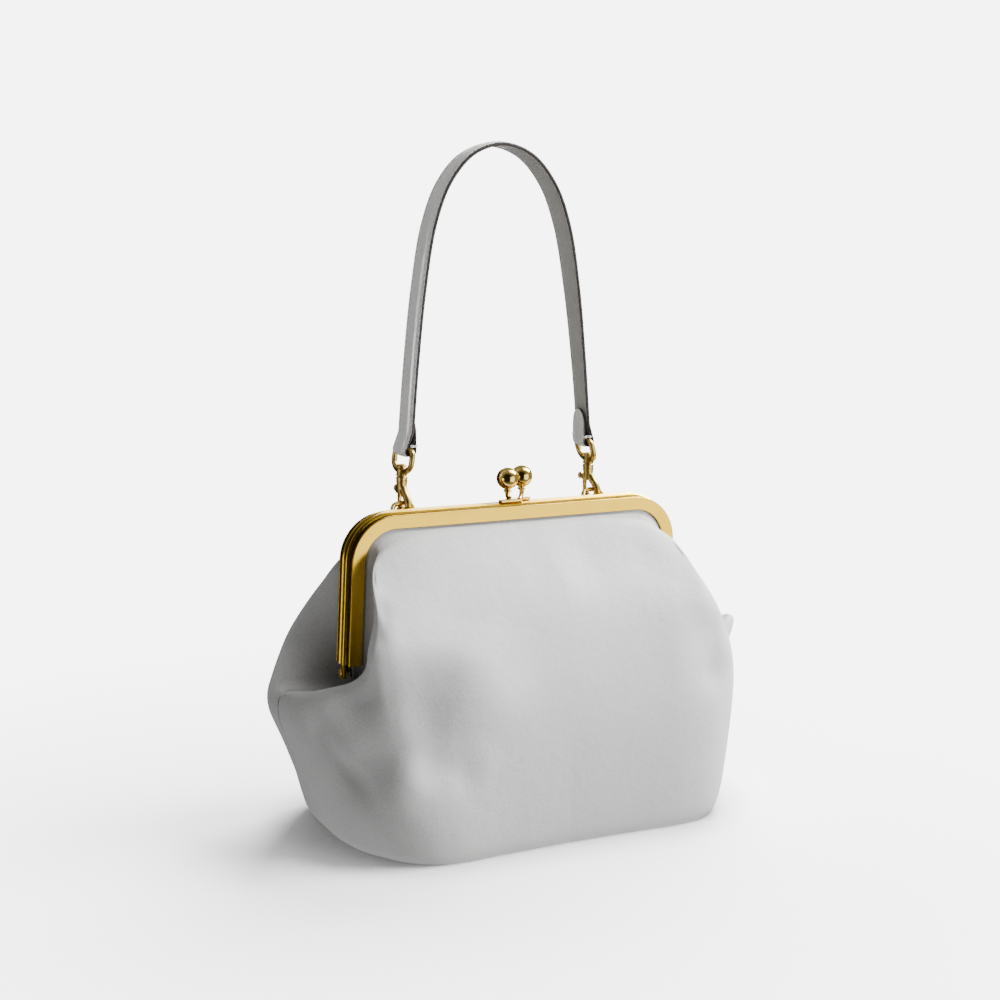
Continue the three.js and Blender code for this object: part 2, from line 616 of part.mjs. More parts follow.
// Strap: tab, fold round the left ring, leg, arch, leg, fold round the right ring, tab
function strapGeometry() {
  const section = (thick, width) => {
    const [t, w] = [thick / 2, width / 2];
    const b = Math.min(STRAP_BEVEL, w / 2);
    const upper = [[t, w - b], [t - b, w], [b - t, w], [-t, w - b]];
    const lower = [[-t, b - w], [b - t, -w], [t - b, -w], [t, b - w]];
    return [...upper, ...lower].map(([u, v]) => new THREE.Vector2(u, v));
  };
  const [left, right] = HOOKS.map(strapHalf);
  const rows = [...left, ...right.slice(0, -1).toReversed()];
  const ring = ({ centre, across, along, thick, width }) => section(thick, width).map(({ x: u, y: v }) => (
    centre.clone().addScaledVector(across, u).addScaledVector(along, v)
  ));
  const rings = rows.map(ring);
  return skin(rings, section(FOLD_THICK, STRAP_WIDTH));
}

const LEATHER_FINISH = { color: 0xd4d4d2, roughness: 0.62, metalness: 0 };
const STRAP_FINISH = { color: 0xa6a6a4, roughness: 0.55, metalness: 0 };
const FRAME_FINISH = { color: 0xd9b15c, roughness: 0.3, metalness: 1 };
const POLISHED_FINISH = { color: 0xcda24a, roughness: 0.14, metalness: 1 };

function piece(name, geometry, finish) {
  const mesh = new THREE.Mesh(geometry, new THREE.MeshStandardMaterial(finish));
  mesh.name = name;
  return mesh;
}

const bag = new THREE.Group();
bag.add(piece('front_panel', pouchPanel(-1), LEATHER_FINISH));
bag.add(piece('back_panel', pouchPanel(1), LEATHER_FINISH));
bag.add(piece('front_frame', frameHalf('front'), FRAME_FINISH));

const loops = HOOKS.map(({ sign }) => strapLoop(LOOP_X + sign * LOOP_SPREAD));
bag.add(piece('back_frame', join(frameHalf('back'), ...loops), FRAME_FINISH));
bag.add(piece('pivot_rivet_left', pivotRivet(1), POLISHED_FINISH));
bag.add(piece('pivot_rivet_right', pivotRivet(-1), POLISHED_FINISH));

bag.add(piece('front_clasp', frontClasp(), POLISHED_FINISH));
const backClasp = frontClasp().translate(-CLASP_X, 0, 0).rotateZ(Math.PI).translate(CLASP_X, 0, 0);
bag.add(piece('back_clasp', backClasp, POLISHED_FINISH));

for (const { side, sign, yaw, lean, turn } of HOOKS) {
  const swivel = new THREE.Group();
  swivel.position.set(HANDLE_X + sign * HOOK_SPREAD, HANDLE_Y, SWIVEL_Z);
  const hook = new THREE.Group();
  hook.rotation.z = yaw;
  hook.add(piece(`hook_${side}`, hookBody(), POLISHED_FINISH));
  hook.add(piece(`hook_lever_${side}`, hookLever(), POLISHED_FINISH));
  hook.add(piece(`lever_pin_${side}`, leverPin(), POLISHED_FINISH));
  const eye = piece(`hook_eye_${side}`, hookEye(-sign * lean), POLISHED_FINISH);
  eye.rotation.z = -turn;
  swivel.add(hook, eye);
  bag.add(swivel);
}
bag.add(piece('strap', strapGeometry(), STRAP_FINISH));

export default bag;
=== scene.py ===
"""Kiss lock frame bag: a soft leather pouch in a hinged brass frame, with a strap on two snap hooks.

Sizes are in millimetres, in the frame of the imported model: front toward -Y, +Z up, floor at z = 0.
"""

import logging
import math
from dataclasses import dataclass, field
from enum import Enum
from typing import Sequence

import bmesh
import bpy
import numpy as np
from mathutils import Matrix, Vector


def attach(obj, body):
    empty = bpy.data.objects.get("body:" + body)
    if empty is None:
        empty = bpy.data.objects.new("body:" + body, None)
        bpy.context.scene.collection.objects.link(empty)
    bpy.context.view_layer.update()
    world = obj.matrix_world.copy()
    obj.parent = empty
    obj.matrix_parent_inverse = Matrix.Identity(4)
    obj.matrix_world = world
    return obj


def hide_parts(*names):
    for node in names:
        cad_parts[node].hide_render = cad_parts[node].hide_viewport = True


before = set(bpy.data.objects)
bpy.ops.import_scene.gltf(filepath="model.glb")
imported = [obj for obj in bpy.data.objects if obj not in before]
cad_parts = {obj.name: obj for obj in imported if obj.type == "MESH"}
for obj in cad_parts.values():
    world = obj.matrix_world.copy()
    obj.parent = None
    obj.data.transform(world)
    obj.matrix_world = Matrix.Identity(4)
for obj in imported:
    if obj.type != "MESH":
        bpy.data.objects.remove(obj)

LOG = logging.getLogger("frame_bag")
MM = 0.001

Row = tuple[float, ...]


class Side(Enum):
    """Half of the bag along X, as the sign of its coordinates."""

    LEFT = -1
    RIGHT = 1


class Face(Enum):
    """Half of the bag along Y, as the sign of its coordinates."""

    FRONT = -1
    BACK = 1


class Slot(Enum):
    """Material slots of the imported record."""

    POUCH = "pouch_leather"
    STRAP = "strap_leather"
    SATIN = "satin_brass"
    POLISHED = "polished_brass"


def blend_rows(rows: np.ndarray, at: np.ndarray) -> np.ndarray:
    """Catmull-Rom value through rows of numbers.

    Args:
        rows: Values at rows 0, 1, 2 and so on, one row each.
        at: Fractional row numbers.

    Returns:
        One row of values for each number in at.
    """
    padded = np.vstack([2 * rows[0] - rows[1], rows, 2 * rows[-1] - rows[-2]])
    first = np.minimum(np.floor(at).astype(int), len(rows) - 2)
    f = (at - first)[:, None]
    p0, p1, p2, p3 = (padded[first + k] for k in range(4))
    start = (2 * f**3 - 3 * f**2 + 1) * p1 + (f**3 - 2 * f**2 + f) * (p2 - p0) / 2
    finish = (3 * f**2 - 2 * f**3) * p2 + (f**3 - f**2) * (p3 - p1) / 2
    return start + finish


def centripetal(points: np.ndarray, counts: Sequence[int]) -> np.ndarray:
    """Centripetal Catmull-Rom curves, all sampled alike.

    Args:
        points: Control points, shape (..., n, 3).
        counts: Samples in each of the n - 1 spans.

    Returns:
        Points along the curves, shape (..., 1 + sum(counts), 3).
    """
    first = 2 * points[..., :1, :] - points[..., 1:2, :]
    last = 2 * points[..., -1:, :] - points[..., -2:-1, :]
    control = np.concatenate([first, points, last], axis=-2)
    rows = [points[..., 0, :]]
    for span, count in enumerate(counts):
        p0, p1, p2, p3 = (control[..., span + k, :] for k in range(4))
        d1 = np.maximum(np.sum((p2 - p1) ** 2, axis=-1, keepdims=True) ** 0.25, 1e-4)
        d0, d2 = (np.sum((b - a) ** 2, axis=-1, keepdims=True) ** 0.25 for a, b in ((p0, p1), (p2, p3)))
        d0 = np.where(d0 < 1e-4, d1, d0)
        d2 = np.where(d2 < 1e-4, d1, d2)
        m1 = ((p1 - p0) / d0 - (p2 - p0) / (d0 + d1) + (p2 - p1) / d1) * d1
        m2 = ((p2 - p1) / d1 - (p3 - p1) / (d1 + d2) + (p3 - p2) / d2) * d1
        for k in range(1, count + 1):
            f = k / count
            rows.append(
                (2 * f**3 - 3 * f**2 + 1) * p1 + (f**3 - 2 * f**2 + f) * m1
                + (3 * f**2 - 2 * f**3) * p2 + (f**3 - f**2) * m2
            )
    return np.stack(rows, axis=-2)


def smoothstep(value: np.ndarray, low: float, high: float) -> np.ndarray:
    """Smooth rise from 0 at low to 1 at high.

    Args:
        value: Where to evaluate it.
        low: Start of the rise.
        high: End of the rise.

    Returns:
        The risen values.
    """
    t = np.clip((np.asarray(value, float) - low) / (high - low), 0.0, 1.0)
    return t * t * (3 - 2 * t)


def unit(vectors: np.ndarray) -> np.ndarray:
    """Vectors scaled to length 1.

    Args:
        vectors: Vectors along the last axis.

    Returns:
        Unit vectors of the same shape.
    """
    return vectors / np.maximum(np.linalg.norm(vectors, axis=-1, keepdims=True), 1e-9)


def filleted(corners: Sequence[Row], steps: int = 5) -> np.ndarray:
    """Closed outline with rounded corners.

    Args:
        corners: Rows of x, y and corner radius.
        steps: Segments in each rounded corner.

    Returns:
        Outline points, shape (n, 2).
    """
    table = np.array(corners, float)
    outline: list[np.ndarray] = []
    for k, (x, y, radius) in enumerate(table):
        corner = np.array([x, y])
        before, after = table[k - 1, :2] - corner, table[(k + 1) % len(table), :2] - corner
        a, b = np.linalg.norm(before), np.linalg.norm(after)
        half = math.acos(float(np.clip(before @ after / (a * b), -1, 1))) / 2
        reach = min(radius / math.tan(half), 0.48 * a, 0.48 * b) if radius > 0 else 0.0
        if reach <= 0:
            outline.append(corner)
            continue
        start, finish = corner + before / a * reach, corner + after / b * reach
        for f in np.linspace(0, 1, steps + 1):
            outline.append((1 - f) ** 2 * start + 2 * f * (1 - f) * corner + f**2 * finish)
    return np.array(outline)


@dataclass
class Solid:
    """Points in millimetres, faces over them and the material slot of each face."""

    points: np.ndarray
    faces: list[tuple[int, ...]]
    slots: list[int] = field(default_factory=list)

    @staticmethod
    def skin(rings: np.ndarray, closed: bool = False, slots: Sequence[int] | None = None) -> "Solid":
        """Skin over closed rings of equal count.

        Args:
            rings: Ring points, shape (rings, points, 3).
            closed: Whether the last ring meets the first; if not, both ends are capped.
            slots: Material slot of each segment round a ring.

        Returns:
            The skinned solid.
        """
        total, count = rings.shape[:2]
        faces: list[tuple[int, ...]] = []
        marks: list[int] = []
        for i in range(total if closed else total - 1):
            here, there = i * count, (i + 1) % total * count
            for j in range(count):
                k = (j + 1) % count
                faces.append((here + j, there + j, there + k, here + k))
                marks.append(slots[j] if slots is not None else 0)
        if not closed:
            end = (total - 1) * count
            faces += [tuple(range(count)), tuple(range(end + count - 1, end - 1, -1))]
            marks += [max(marks), max(marks)]
        return Solid(rings.reshape(-1, 3), faces, marks)

    @staticmethod
    def turned(profile: Sequence[Row], segments: int = 48) -> "Solid":
        """Turned solid about Z.

        Args:
            profile: Rows of radius and height from one end to the other.
            segments: Segments round the axis.

        Returns:
            The turned solid, its ends closed by small caps.
        """
        table = np.array(profile, float)
        angle = np.linspace(0, 2 * math.pi, segments, endpoint=False)
        radius = np.maximum(table[:, :1], 1e-3)
        height = np.repeat(table[:, 1:2], segments, axis=1)
        return Solid.skin(np.stack([radius * np.cos(angle), radius * np.sin(angle), height], axis=-1))

    @staticmethod
    def tube(path: np.ndarray, radii: tuple[float, float], sides: int = 20,
             side: Row = (0, 1, 0), closed: bool = False) -> "Solid":
        """Rod with an oval section along a path.

        Args:
            path: Centre line, shape (n, 3).
            radii: Half sizes across and along the side direction.
            sides: Points round the section.
            side: Direction that stays across the path.
            closed: Whether the path is a loop.

        Returns:
            The rod.
        """
        if closed:
            along = unit(np.roll(path, -1, axis=0) - np.roll(path, 1, axis=0))
        else:
            along = unit(np.gradient(path, axis=0))
        beside = unit(np.array(side, float) - along * (along @ np.array(side, float))[:, None])
        across = np.cross(beside, along)
        angle = np.linspace(0, 2 * math.pi, sides, endpoint=False)[None, :, None]
        wide = radii[0] * np.cos(angle) * across[:, None]
        high = radii[1] * np.sin(angle) * beside[:, None]
        return Solid.skin(path[:, None] + wide + high, closed)

    @staticmethod
    def plate(outline: np.ndarray, low: float, high: float, bevel: float) -> "Solid":
        """Flat plate in the XY plane with softened rims.

        Args:
            outline: Outline points, shape (n, 2), counterclockwise or not.
            low: Lower face.
            high: Upper face.
            bevel: Width of the softened rim.

        Returns:
            The plate.
        """
        forward = np.roll(outline, -1, axis=0) - np.roll(outline, 1, axis=0)
        normal = unit(np.stack([forward[:, 1], -forward[:, 0]], axis=1))
        area = np.sum(outline[:, 0] * np.roll(outline[:, 1], -1) - outline[:, 1] * np.roll(outline[:, 0], -1))
        inward = -normal if area > 0 else normal
        rings = []
        for inset, level in ((1, low), (0.3, low + 0.3 * bevel), (0, low + bevel),
                             (0, high - bevel), (0.3, high - 0.3 * bevel), (1, high)):
            flat = outline + inward * bevel * inset
            rings.append(np.column_stack([flat, np.full(len(flat), level)]))
        return Solid.skin(np.array(rings))

    def moved(self, matrix: Matrix) -> "Solid":
        """The solid moved by a matrix.

        Args:
            matrix: Transform in millimetres.

        Returns:
            A moved copy.
        """
        m = np.array(matrix)
        return Solid(self.points @ m[:3, :3].T + m[:3, 3], self.faces, self.slots)

    def in_slot(self, slot: int) -> "Solid":
        """The solid with every face in one material slot.

        Args:
            slot: Which slot.

        Returns:
            A copy in that slot.
        """
        return Solid(self.points, self.faces, [slot] * len(self.faces))

    def joined(self, *others: "Solid") -> "Solid":
        """One solid from several overlapping ones.

        Args:
            others: Solids to add.

        Returns:
            The joined solid.
        """
        points, faces, slots = self.points, list(self.faces), list(self.slots)
        for other in others:
            start = len(points)
            points = np.vstack([points, other.points])
            faces += [tuple(start + k for k in face) for face in other.faces]
            slots += other.slots
        return Solid(points, faces, slots)

    def build(self, name: str, materials: Sequence[bpy.types.Material],
              sharp: float = 40.0) -> bpy.types.Object:
        """Mesh object of the solid, in metres and in place.

        Args:
            name: Object name.
            materials: Materials of its slots.
            sharp: Angle in degrees above which an edge stays sharp.

        Returns:
            The object, linked to the scene.
        """
        mesh = bpy.data.meshes.new(name)
        mesh.from_pydata((self.points * MM).tolist(), [], self.faces)
        mesh.polygons.foreach_set("material_index", self.slots)
        for material in materials:
            mesh.materials.append(material)
        sheet = bmesh.new()
        sheet.from_mesh(mesh)
        bmesh.ops.recalc_face_normals(sheet, faces=sheet.faces)
        for polygon in sheet.faces:
            polygon.smooth = True
        limit = math.radians(sharp)
        for edge in sheet.edges:
            edge.smooth = not edge.is_manifold or edge.calc_face_angle(0.0) < limit
        sheet.to_mesh(mesh)
        sheet.free()
        piece = bpy.data.objects.new(name, mesh)
        bpy.context.scene.collection.objects.link(piece)
        return piece


def carve(piece: bpy.types.Object, tool: bpy.types.Object) -> None:
    """Cut one object out of another and drop the tool.

    Args:
        piece: Object to cut.
        tool: Object to take away.
    """
    modifier = piece.modifiers.new("carve", "BOOLEAN")
    modifier.operation = "DIFFERENCE"
    modifier.solver = "EXACT"
    modifier.use_self = True
    modifier.object = tool
    bpy.context.view_layer.update()
    cut = bpy.data.meshes.new_from_object(piece.evaluated_get(bpy.context.evaluated_depsgraph_get()))
    piece.modifiers.clear()
    old, piece.data = piece.data, cut
    bpy.data.meshes.remove(old)
    bpy.data.meshes.remove(tool.data)


def settle(piece: bpy.types.Object, body: str, slot: Slot, *nodes: str) -> bpy.types.Object:
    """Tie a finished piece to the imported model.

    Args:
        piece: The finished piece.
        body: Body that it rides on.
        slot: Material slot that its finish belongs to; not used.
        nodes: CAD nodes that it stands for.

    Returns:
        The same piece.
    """
    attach(piece, body)
    if nodes:
        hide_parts(*nodes)
    LOG.info("%s: %d faces on %s", piece.name, len(piece.data.polygons), body)
    return piece


class Shader:
    """Node tree of one material, built step by step."""

    def __init__(self, name: str) -> None:
        """Start a material with a Principled shader.

        Args:
            name: Material name.
        """
        self.material = bpy.data.materials.new(name)
        self.material.use_nodes = True
        self.nodes = self.material.node_tree.nodes
        self.links = self.material.node_tree.links
        self.base = self.nodes["Principled BSDF"]

    def add(self, kind: str, inputs: dict[str, object] | None = None, **settings: object) -> bpy.types.Node:
        """Add a node.

        Args:
            kind: Node type.
            inputs: Values or sockets for its inputs, by name.
            settings: Properties of the node.

        Returns:
            The node.
        """
        node = self.nodes.new(kind)
        for key, value in settings.items():
            setattr(node, key, value)
        for key, value in (inputs or {}).items():
            self.feed(node.inputs[key], value)
        return node

    def feed(self, socket: bpy.types.NodeSocket, value: object) -> None:
        """Link or set an input.

        Args:
            socket: Input socket.
            value: Output socket to link, or a plain value.
        """
        if isinstance(value, bpy.types.NodeSocket):
            self.links.new(value, socket)
        else:
            socket.default_value = value

    def place(self, scale: Row = (1, 1, 1)) -> bpy.types.NodeSocket:
        """Object coordinates, stretched.

        Args:
            scale: Stretch along each axis.

        Returns:
            The coordinate socket.
        """
        coordinates = self.add("ShaderNodeTexCoord").outputs["Object"]
        return self.add("ShaderNodeMapping", {"Vector": coordinates, "Scale": scale}).outputs["Vector"]

    def noise(self, size: float, detail: float = 2.0, stretch: Row = (1, 1, 1)) -> bpy.types.NodeSocket:
        """Noise with features of a given size.

        Args:
            size: Feature size in millimetres.
            detail: Octaves.
            stretch: Stretch of the coordinates.

        Returns:
            The noise value.
        """
        inputs = {"Vector": self.place(stretch), "Scale": 1 / (size * MM), "Detail": detail}
        return self.add("ShaderNodeTexNoise", inputs).outputs["Fac"]

    def ramp(self, value: bpy.types.NodeSocket, low: float, high: float,
             to_low: float = 0.0, to_high: float = 1.0) -> bpy.types.NodeSocket:
        """Map a range of values onto another.

        Args:
            value: Value to map.
            low: Start of the range.
            high: End of the range.
            to_low: Result at the start.
            to_high: Result at the end.

        Returns:
            The mapped value.
        """
        inputs = {"Value": value, "From Min": low, "From Max": high, "To Min": to_low, "To Max": to_high}
        return self.add("ShaderNodeMapRange", inputs).outputs["Result"]

    def mix(self, factor: object, a: object, b: object) -> bpy.types.NodeSocket:
        """Mix two colours.

        Args:
            factor: Share of b.
            a: First colour.
            b: Second colour.

        Returns:
            The mixed colour.
        """
        node = self.add("ShaderNodeMix", data_type="RGBA")
        self.feed(node.inputs["Factor"], factor)
        for socket, value in zip((s for s in node.inputs if s.type == "RGBA"), (a, b)):
            self.feed(socket, value)
        return next(s for s in node.outputs if s.type == "RGBA")

    def bump(self, height: bpy.types.NodeSocket, strength: float, depth: float,
             under: bpy.types.NodeSocket | None = None) -> bpy.types.NodeSocket:
        """Bump from a height.

        Args:
            height: Height value.
            strength: Strength of the bump.
            depth: Height of the bump in millimetres.
            under: Normal that it is laid on.

        Returns:
            The bumped normal.
        """
        inputs = {"Height": height, "Strength": strength, "Distance": depth * MM}
        node = self.add("ShaderNodeBump", inputs)
        if under is not None:
            self.feed(node.inputs["Normal"], under)
        return node.outputs["Normal"]


@dataclass(frozen=True)
class LeatherFinish:
    """Smooth calf leather with a fine pebble, drifting tone and a satin top coat; its colour carries painted
    shade, darkened where ambient occlusion finds hollows, wells and creases.
    """

    name: str
    colour: Row
    shade: Row
    roughness: float = 0.5
    pebble: float = 0.9
    depth: float = 0.12
    # These four fields set the painted shade: the largest share of the dark tone, how far occlusion looks,
    # the occlusion range that darkens, and the dark tone itself.
    painted_shade_most: float = 0.75
    painted_shade_reach: float = 50.0
    painted_shade_range: tuple[float, float] = (0.40, 0.95)
    painted_shade_tone: float = 0.2

    def material(self) -> bpy.types.Material:
        """Build the material.

        Returns:
            The material.
        """
        shader = Shader(self.name)
        drift = shader.ramp(shader.noise(55, 3), 0.3, 0.7)
        tone = shader.mix(drift, (*self.colour, 1), (*self.shade, 1))
        cells = shader.add("ShaderNodeTexVoronoi", {
            "Vector": shader.place(), "Scale": 1 / (self.pebble * MM), "Smoothness": 0.6,
        }, feature="SMOOTH_F1").outputs["Distance"]
        crease = shader.ramp(cells, 0.3, 0.75)
        fleck = shader.add("ShaderNodeMath", {0: crease, 1: 0.45}, operation="MULTIPLY").outputs[0]
        dark = tuple(0.82 * c for c in self.shade)
        tone = shader.mix(fleck, tone, (*dark, 1))
        # Painted shade: the base colour is darkened toward a dark tone where ambient occlusion finds hollows,
        # wells and creases.
        reach = {"Distance": self.painted_shade_reach * MM}
        open_air = shader.add("ShaderNodeAmbientOcclusion", reach, samples=6).outputs["AO"]
        deep = shader.ramp(open_air, *self.painted_shade_range, self.painted_shade_most, 0.0)
        hollow = tuple(self.painted_shade_tone * c for c in self.shade)
        shader.feed(shader.base.inputs["Base Color"], shader.mix(deep, tone, (*hollow, 1)))
        rough = shader.ramp(shader.noise(18, 3), 0.3, 0.7, self.roughness - 0.05, self.roughness + 0.06)
        shader.feed(shader.base.inputs["Roughness"], rough)
        cloud = shader.bump(shader.noise(22, 3), 0.55, 0.9)
        soft = shader.bump(shader.noise(6, 2), 0.5, 0.25, cloud)
        fine = shader.bump(shader.noise(0.45, 2), 0.4, self.depth, soft)
        hide = shader.add("ShaderNodeMath", {0: 1.0, 1: cells}, operation="SUBTRACT").outputs[0]
        shader.feed(shader.base.inputs["Normal"], shader.bump(hide, 0.35, self.depth, fine))
        shader.base.inputs["Specular IOR Level"].default_value = 0.4
        shader.base.inputs["Sheen Weight"].default_value = 0.08
        shader.base.inputs["Sheen Roughness"].default_value = 0.5
        return shader.material


@dataclass(frozen=True)
class MetalFinish:
    """Plated brass: tone that drifts, fine polishing marks and slight clouding."""

    name: str
    colour: Row
    shade: Row
    roughness: float
    marks: float
    edge: Row = (1.0, 1.0, 1.0)

    def material(self) -> bpy.types.Material:
        """Build the material.

        Returns:
            The material.
        """
        shader = Shader(self.name)
        cloud = shader.ramp(shader.noise(16, 4), 0.35, 0.7)
        shader.feed(shader.base.inputs["Base Color"], shader.mix(cloud, (*self.colour, 1), (*self.shade, 1)))
        lines = shader.noise(0.9, 3, (0.06, 1, 1))
        rough = shader.ramp(lines, 0.3, 0.7, self.roughness * 0.85, self.roughness * 1.2)
        shader.feed(shader.base.inputs["Roughness"], rough)
        soft = shader.bump(shader.noise(4.5, 2), 0.12, 0.02)
        shader.feed(shader.base.inputs["Normal"], shader.bump(lines, self.marks, 0.004, soft))
        shader.base.inputs["Metallic"].default_value = 1.0
        shader.base.inputs["Specular Tint"].default_value = (*self.edge, 1)
        return shader.material


@dataclass(frozen=True)
class PaintFinish:
    """Edge paint on cut leather: dark, slightly glossy, with a faint ripple."""

    name: str
    colour: Row
    shade: Row

    def material(self) -> bpy.types.Material:
        """Build the material.

        Returns:
            The material.
        """
        shader = Shader(self.name)
        drift = shader.ramp(shader.noise(3, 3), 0.35, 0.65)
        shader.feed(shader.base.inputs["Base Color"], shader.mix(drift, (*self.colour, 1), (*self.shade, 1)))
        shader.feed(shader.base.inputs["Roughness"], shader.ramp(shader.noise(1.5), 0.3, 0.7, 0.36, 0.5))
        shader.feed(shader.base.inputs["Normal"], shader.bump(shader.noise(1.1, 2), 0.3, 0.06))
        return shader.material


@dataclass(frozen=True)
class ThreadFinish:
    """Twisted, bonded sewing thread."""

    name: str
    colour: Row
    shade: Row

    def material(self) -> bpy.types.Material:
        """Build the material.

        Returns:
            The material.
        """
        shader = Shader(self.name)
        twist = shader.add("ShaderNodeTexWave", {
            "Vector": shader.place(), "Scale": 900.0, "Distortion": 1.5, "Detail": 1.0,
        }, bands_direction="DIAGONAL").outputs["Fac"]
        shader.feed(shader.base.inputs["Base Color"], shader.mix(twist, (*self.shade, 1), (*self.colour, 1)))
        shader.feed(shader.base.inputs["Normal"], shader.bump(twist, 0.5, 0.05))
        shader.base.inputs["Roughness"].default_value = 0.6
        return shader.material


@dataclass(frozen=True)
class FloorFinish:
    """Pale matt studio paper: it takes the bag's shadow from the lamps nearby, carries a painted contact
    shadow darkened into its colour close to the bag, and runs into an even ground farther off.
    """

    name: str
    level: float
    ground: float
    near: float = 0.17
    far: float = 0.5
    # These three fields set the painted contact shadow: how far occlusion looks, the occlusion range that
    # darkens, and the largest share of black.
    painted_contact_reach: float = 0.04
    painted_contact_range: tuple[float, float] = (0.25, 0.9)
    painted_contact_shade: float = 0.8

    def material(self) -> bpy.types.Material:
        """Build the material.

        Returns:
            The material.
        """
        shader = Shader(self.name)
        fibre = shader.ramp(shader.noise(2.5, 3), 0.3, 0.7)
        tone = shader.mix(fibre, (*(self.level,) * 3, 1), (*(0.985 * self.level,) * 3, 1))
        # Painted contact shadow: the paper's colour is darkened toward black where ambient occlusion finds
        # the bag close by.
        below = {"Distance": self.painted_contact_reach}
        open_air = shader.add("ShaderNodeAmbientOcclusion", below, samples=8).outputs["AO"]
        painted_contact_shadow = shader.ramp(open_air, *self.painted_contact_range, self.painted_contact_shade, 0.0)
        tone = shader.mix(painted_contact_shadow, tone, (0, 0, 0, 1))
        paper = shader.add("ShaderNodeBsdfDiffuse", {"Color": tone})
        glow = shader.add("ShaderNodeEmission", {"Strength": self.ground})
        reach = shader.add("ShaderNodeVectorMath", {0: shader.place()}, operation="LENGTH").outputs["Value"]
        share = shader.ramp(reach, self.near, self.far)
        mixed = {0: share, 1: paper.outputs["BSDF"], 2: glow.outputs["Emission"]}
        join = shader.add("ShaderNodeMixShader", mixed)
        shader.feed(shader.nodes["Material Output"].inputs["Surface"], join.outputs["Shader"])
        return shader.material


POUCH_LEATHER = LeatherFinish("pouch_leather_grain", (0.70, 0.70, 0.69), (0.66, 0.66, 0.655), 0.52)
STRAP_OUTER = LeatherFinish("strap_leather_outer", (0.92, 0.915, 0.89), (0.87, 0.865, 0.84), 0.38)
STRAP_INNER = LeatherFinish("strap_leather_lining", (0.37, 0.36, 0.34), (0.34, 0.33, 0.31), 0.6)
SATIN_BRASS = MetalFinish("satin_brass_plate", (0.88, 0.555, 0.05), (0.83, 0.51, 0.04), 0.22, 0.2)
POLISHED_BRASS = MetalFinish("polished_brass_plate", (0.87, 0.62, 0.17), (0.80, 0.555, 0.14), 0.12, 0.08)
# Near-black brass laid on the frame's groove and lip step: painted shade and painted dark reflection there.
PAINTED_SHADE_BRASS = MetalFinish(
    "brass_painted_shade", (0.10, 0.065, 0.012), (0.06, 0.04, 0.007), 0.42, 0.1, (0.3, 0.2, 0.06),
)
HOOK_BRASS = MetalFinish(
    "hook_brass_plate", (0.76, 0.55, 0.17), (0.68, 0.48, 0.14), 0.3, 0.08, (0.34, 0.25, 0.08),
)
EDGE_PAINT = PaintFinish("dark_edge_paint", (0.022, 0.016, 0.013), (0.035, 0.026, 0.021))
GREY_THREAD = ThreadFinish("grey_thread", (0.34, 0.335, 0.32), (0.22, 0.217, 0.21))
PALE_THREAD = ThreadFinish("pale_thread", (0.85, 0.85, 0.84), (0.62, 0.62, 0.61))
STUDIO_PAPER = FloorFinish("studio_paper", 2.85, 6.6)


@dataclass
class FrameLine:
    """Lip line of the hinged frame in the XZ plane."""

    top: float = 178.4
    half_width: float = 102.4
    corner: float = 27.0
    splay: float = math.radians(2.8)
    end: float = 97.0

    def __post_init__(self) -> None:
        """Work out the corner and the lengths along the line."""
        self.centre = (-self.half_width + self.corner * math.cos(self.splay), self.top - self.corner)
        self.leg_top = self.centre[1] + self.corner * math.sin(self.splay)
        self.leg_run = (self.leg_top - self.end) / math.cos(self.splay)
        self.corner_run = self.corner * (math.pi / 2 - self.splay)
        self.half_run = self.leg_run + self.corner_run - self.centre[0]

    def point(self, run: np.ndarray, inset: np.ndarray) -> tuple[np.ndarray, np.ndarray]:
        """Points of the left half.

        Args:
            run: Lengths along the lip from the leg end.
            inset: Depths inward from the lip.

        Returns:
            Their x and z.
        """
        below = self.leg_run - run
        sin, cos = math.sin(self.splay), math.cos(self.splay)
        leg = (-self.half_width - below * sin + inset * cos, self.leg_top - below * cos - inset * sin)
        angle = self.splay + (run - self.leg_run) / self.corner
        radius = self.corner - inset
        turn = (self.centre[0] - radius * np.cos(angle), self.centre[1] + radius * np.sin(angle))
        flat = (self.centre[0] + run - self.leg_run - self.corner_run, self.top - inset + 0 * run)
        on_leg, on_turn = run <= self.leg_run, run <= self.leg_run + self.corner_run
        x, z = (np.where(on_leg, a, np.where(on_turn, b, c)) for a, b, c in zip(leg, turn, flat))
        return x, z


@dataclass
class SoftLine:
    """Line across soft leather with a reach that fades out on both sides."""

    start: Row
    end: Row
    reach: float

    def weight(self, points: np.ndarray) -> np.ndarray:
        """How far the line reaches each point.

        Args:
            points: Points, shape (..., 3).

        Returns:
            Weights from 0 to 1.
        """
        _, gap = self.measured(points)
        return np.exp(-gap / self.reach**2)

    def measured(self, points: np.ndarray) -> tuple[np.ndarray, np.ndarray]:
        """Where points lie beside the line.

        Args:
            points: Points, shape (..., 3).

        Returns:
            Shares of the way along the line, and squared distances from it.
        """
        a, b = np.array(self.start, float), np.array(self.end, float)
        along = np.clip((points - a) @ (b - a) / ((b - a) @ (b - a)), 0, 1)
        return along, np.sum((points - (a + along[..., None] * (b - a))) ** 2, axis=-1)


@dataclass
class Fold(SoftLine):
    """Swell or tuck that moves the leather one way."""

    push: Row

    def shift(self, points: np.ndarray) -> np.ndarray:
        """How the leather moves.

        Args:
            points: Points, shape (..., 3).

        Returns:
            Moves, shape (..., 3).
        """
        return self.weight(points)[..., None] * np.array(self.push, float)


@dataclass
class Crease(SoftLine):
    """Valley that runs out at both ends, or a ridge where its depth is negative."""

    depth: float

    def sunk(self, points: np.ndarray) -> np.ndarray:
        """How deep the leather sinks.

        Args:
            points: Points, shape (..., 3).

        Returns:
            Depths below the face.
        """
        along, gap = self.measured(points)
        fade = smoothstep(along, 0.0, 0.35) * (1 - smoothstep(along, 0.65, 1.0))
        return self.depth * fade * np.exp(-gap / self.reach**2)


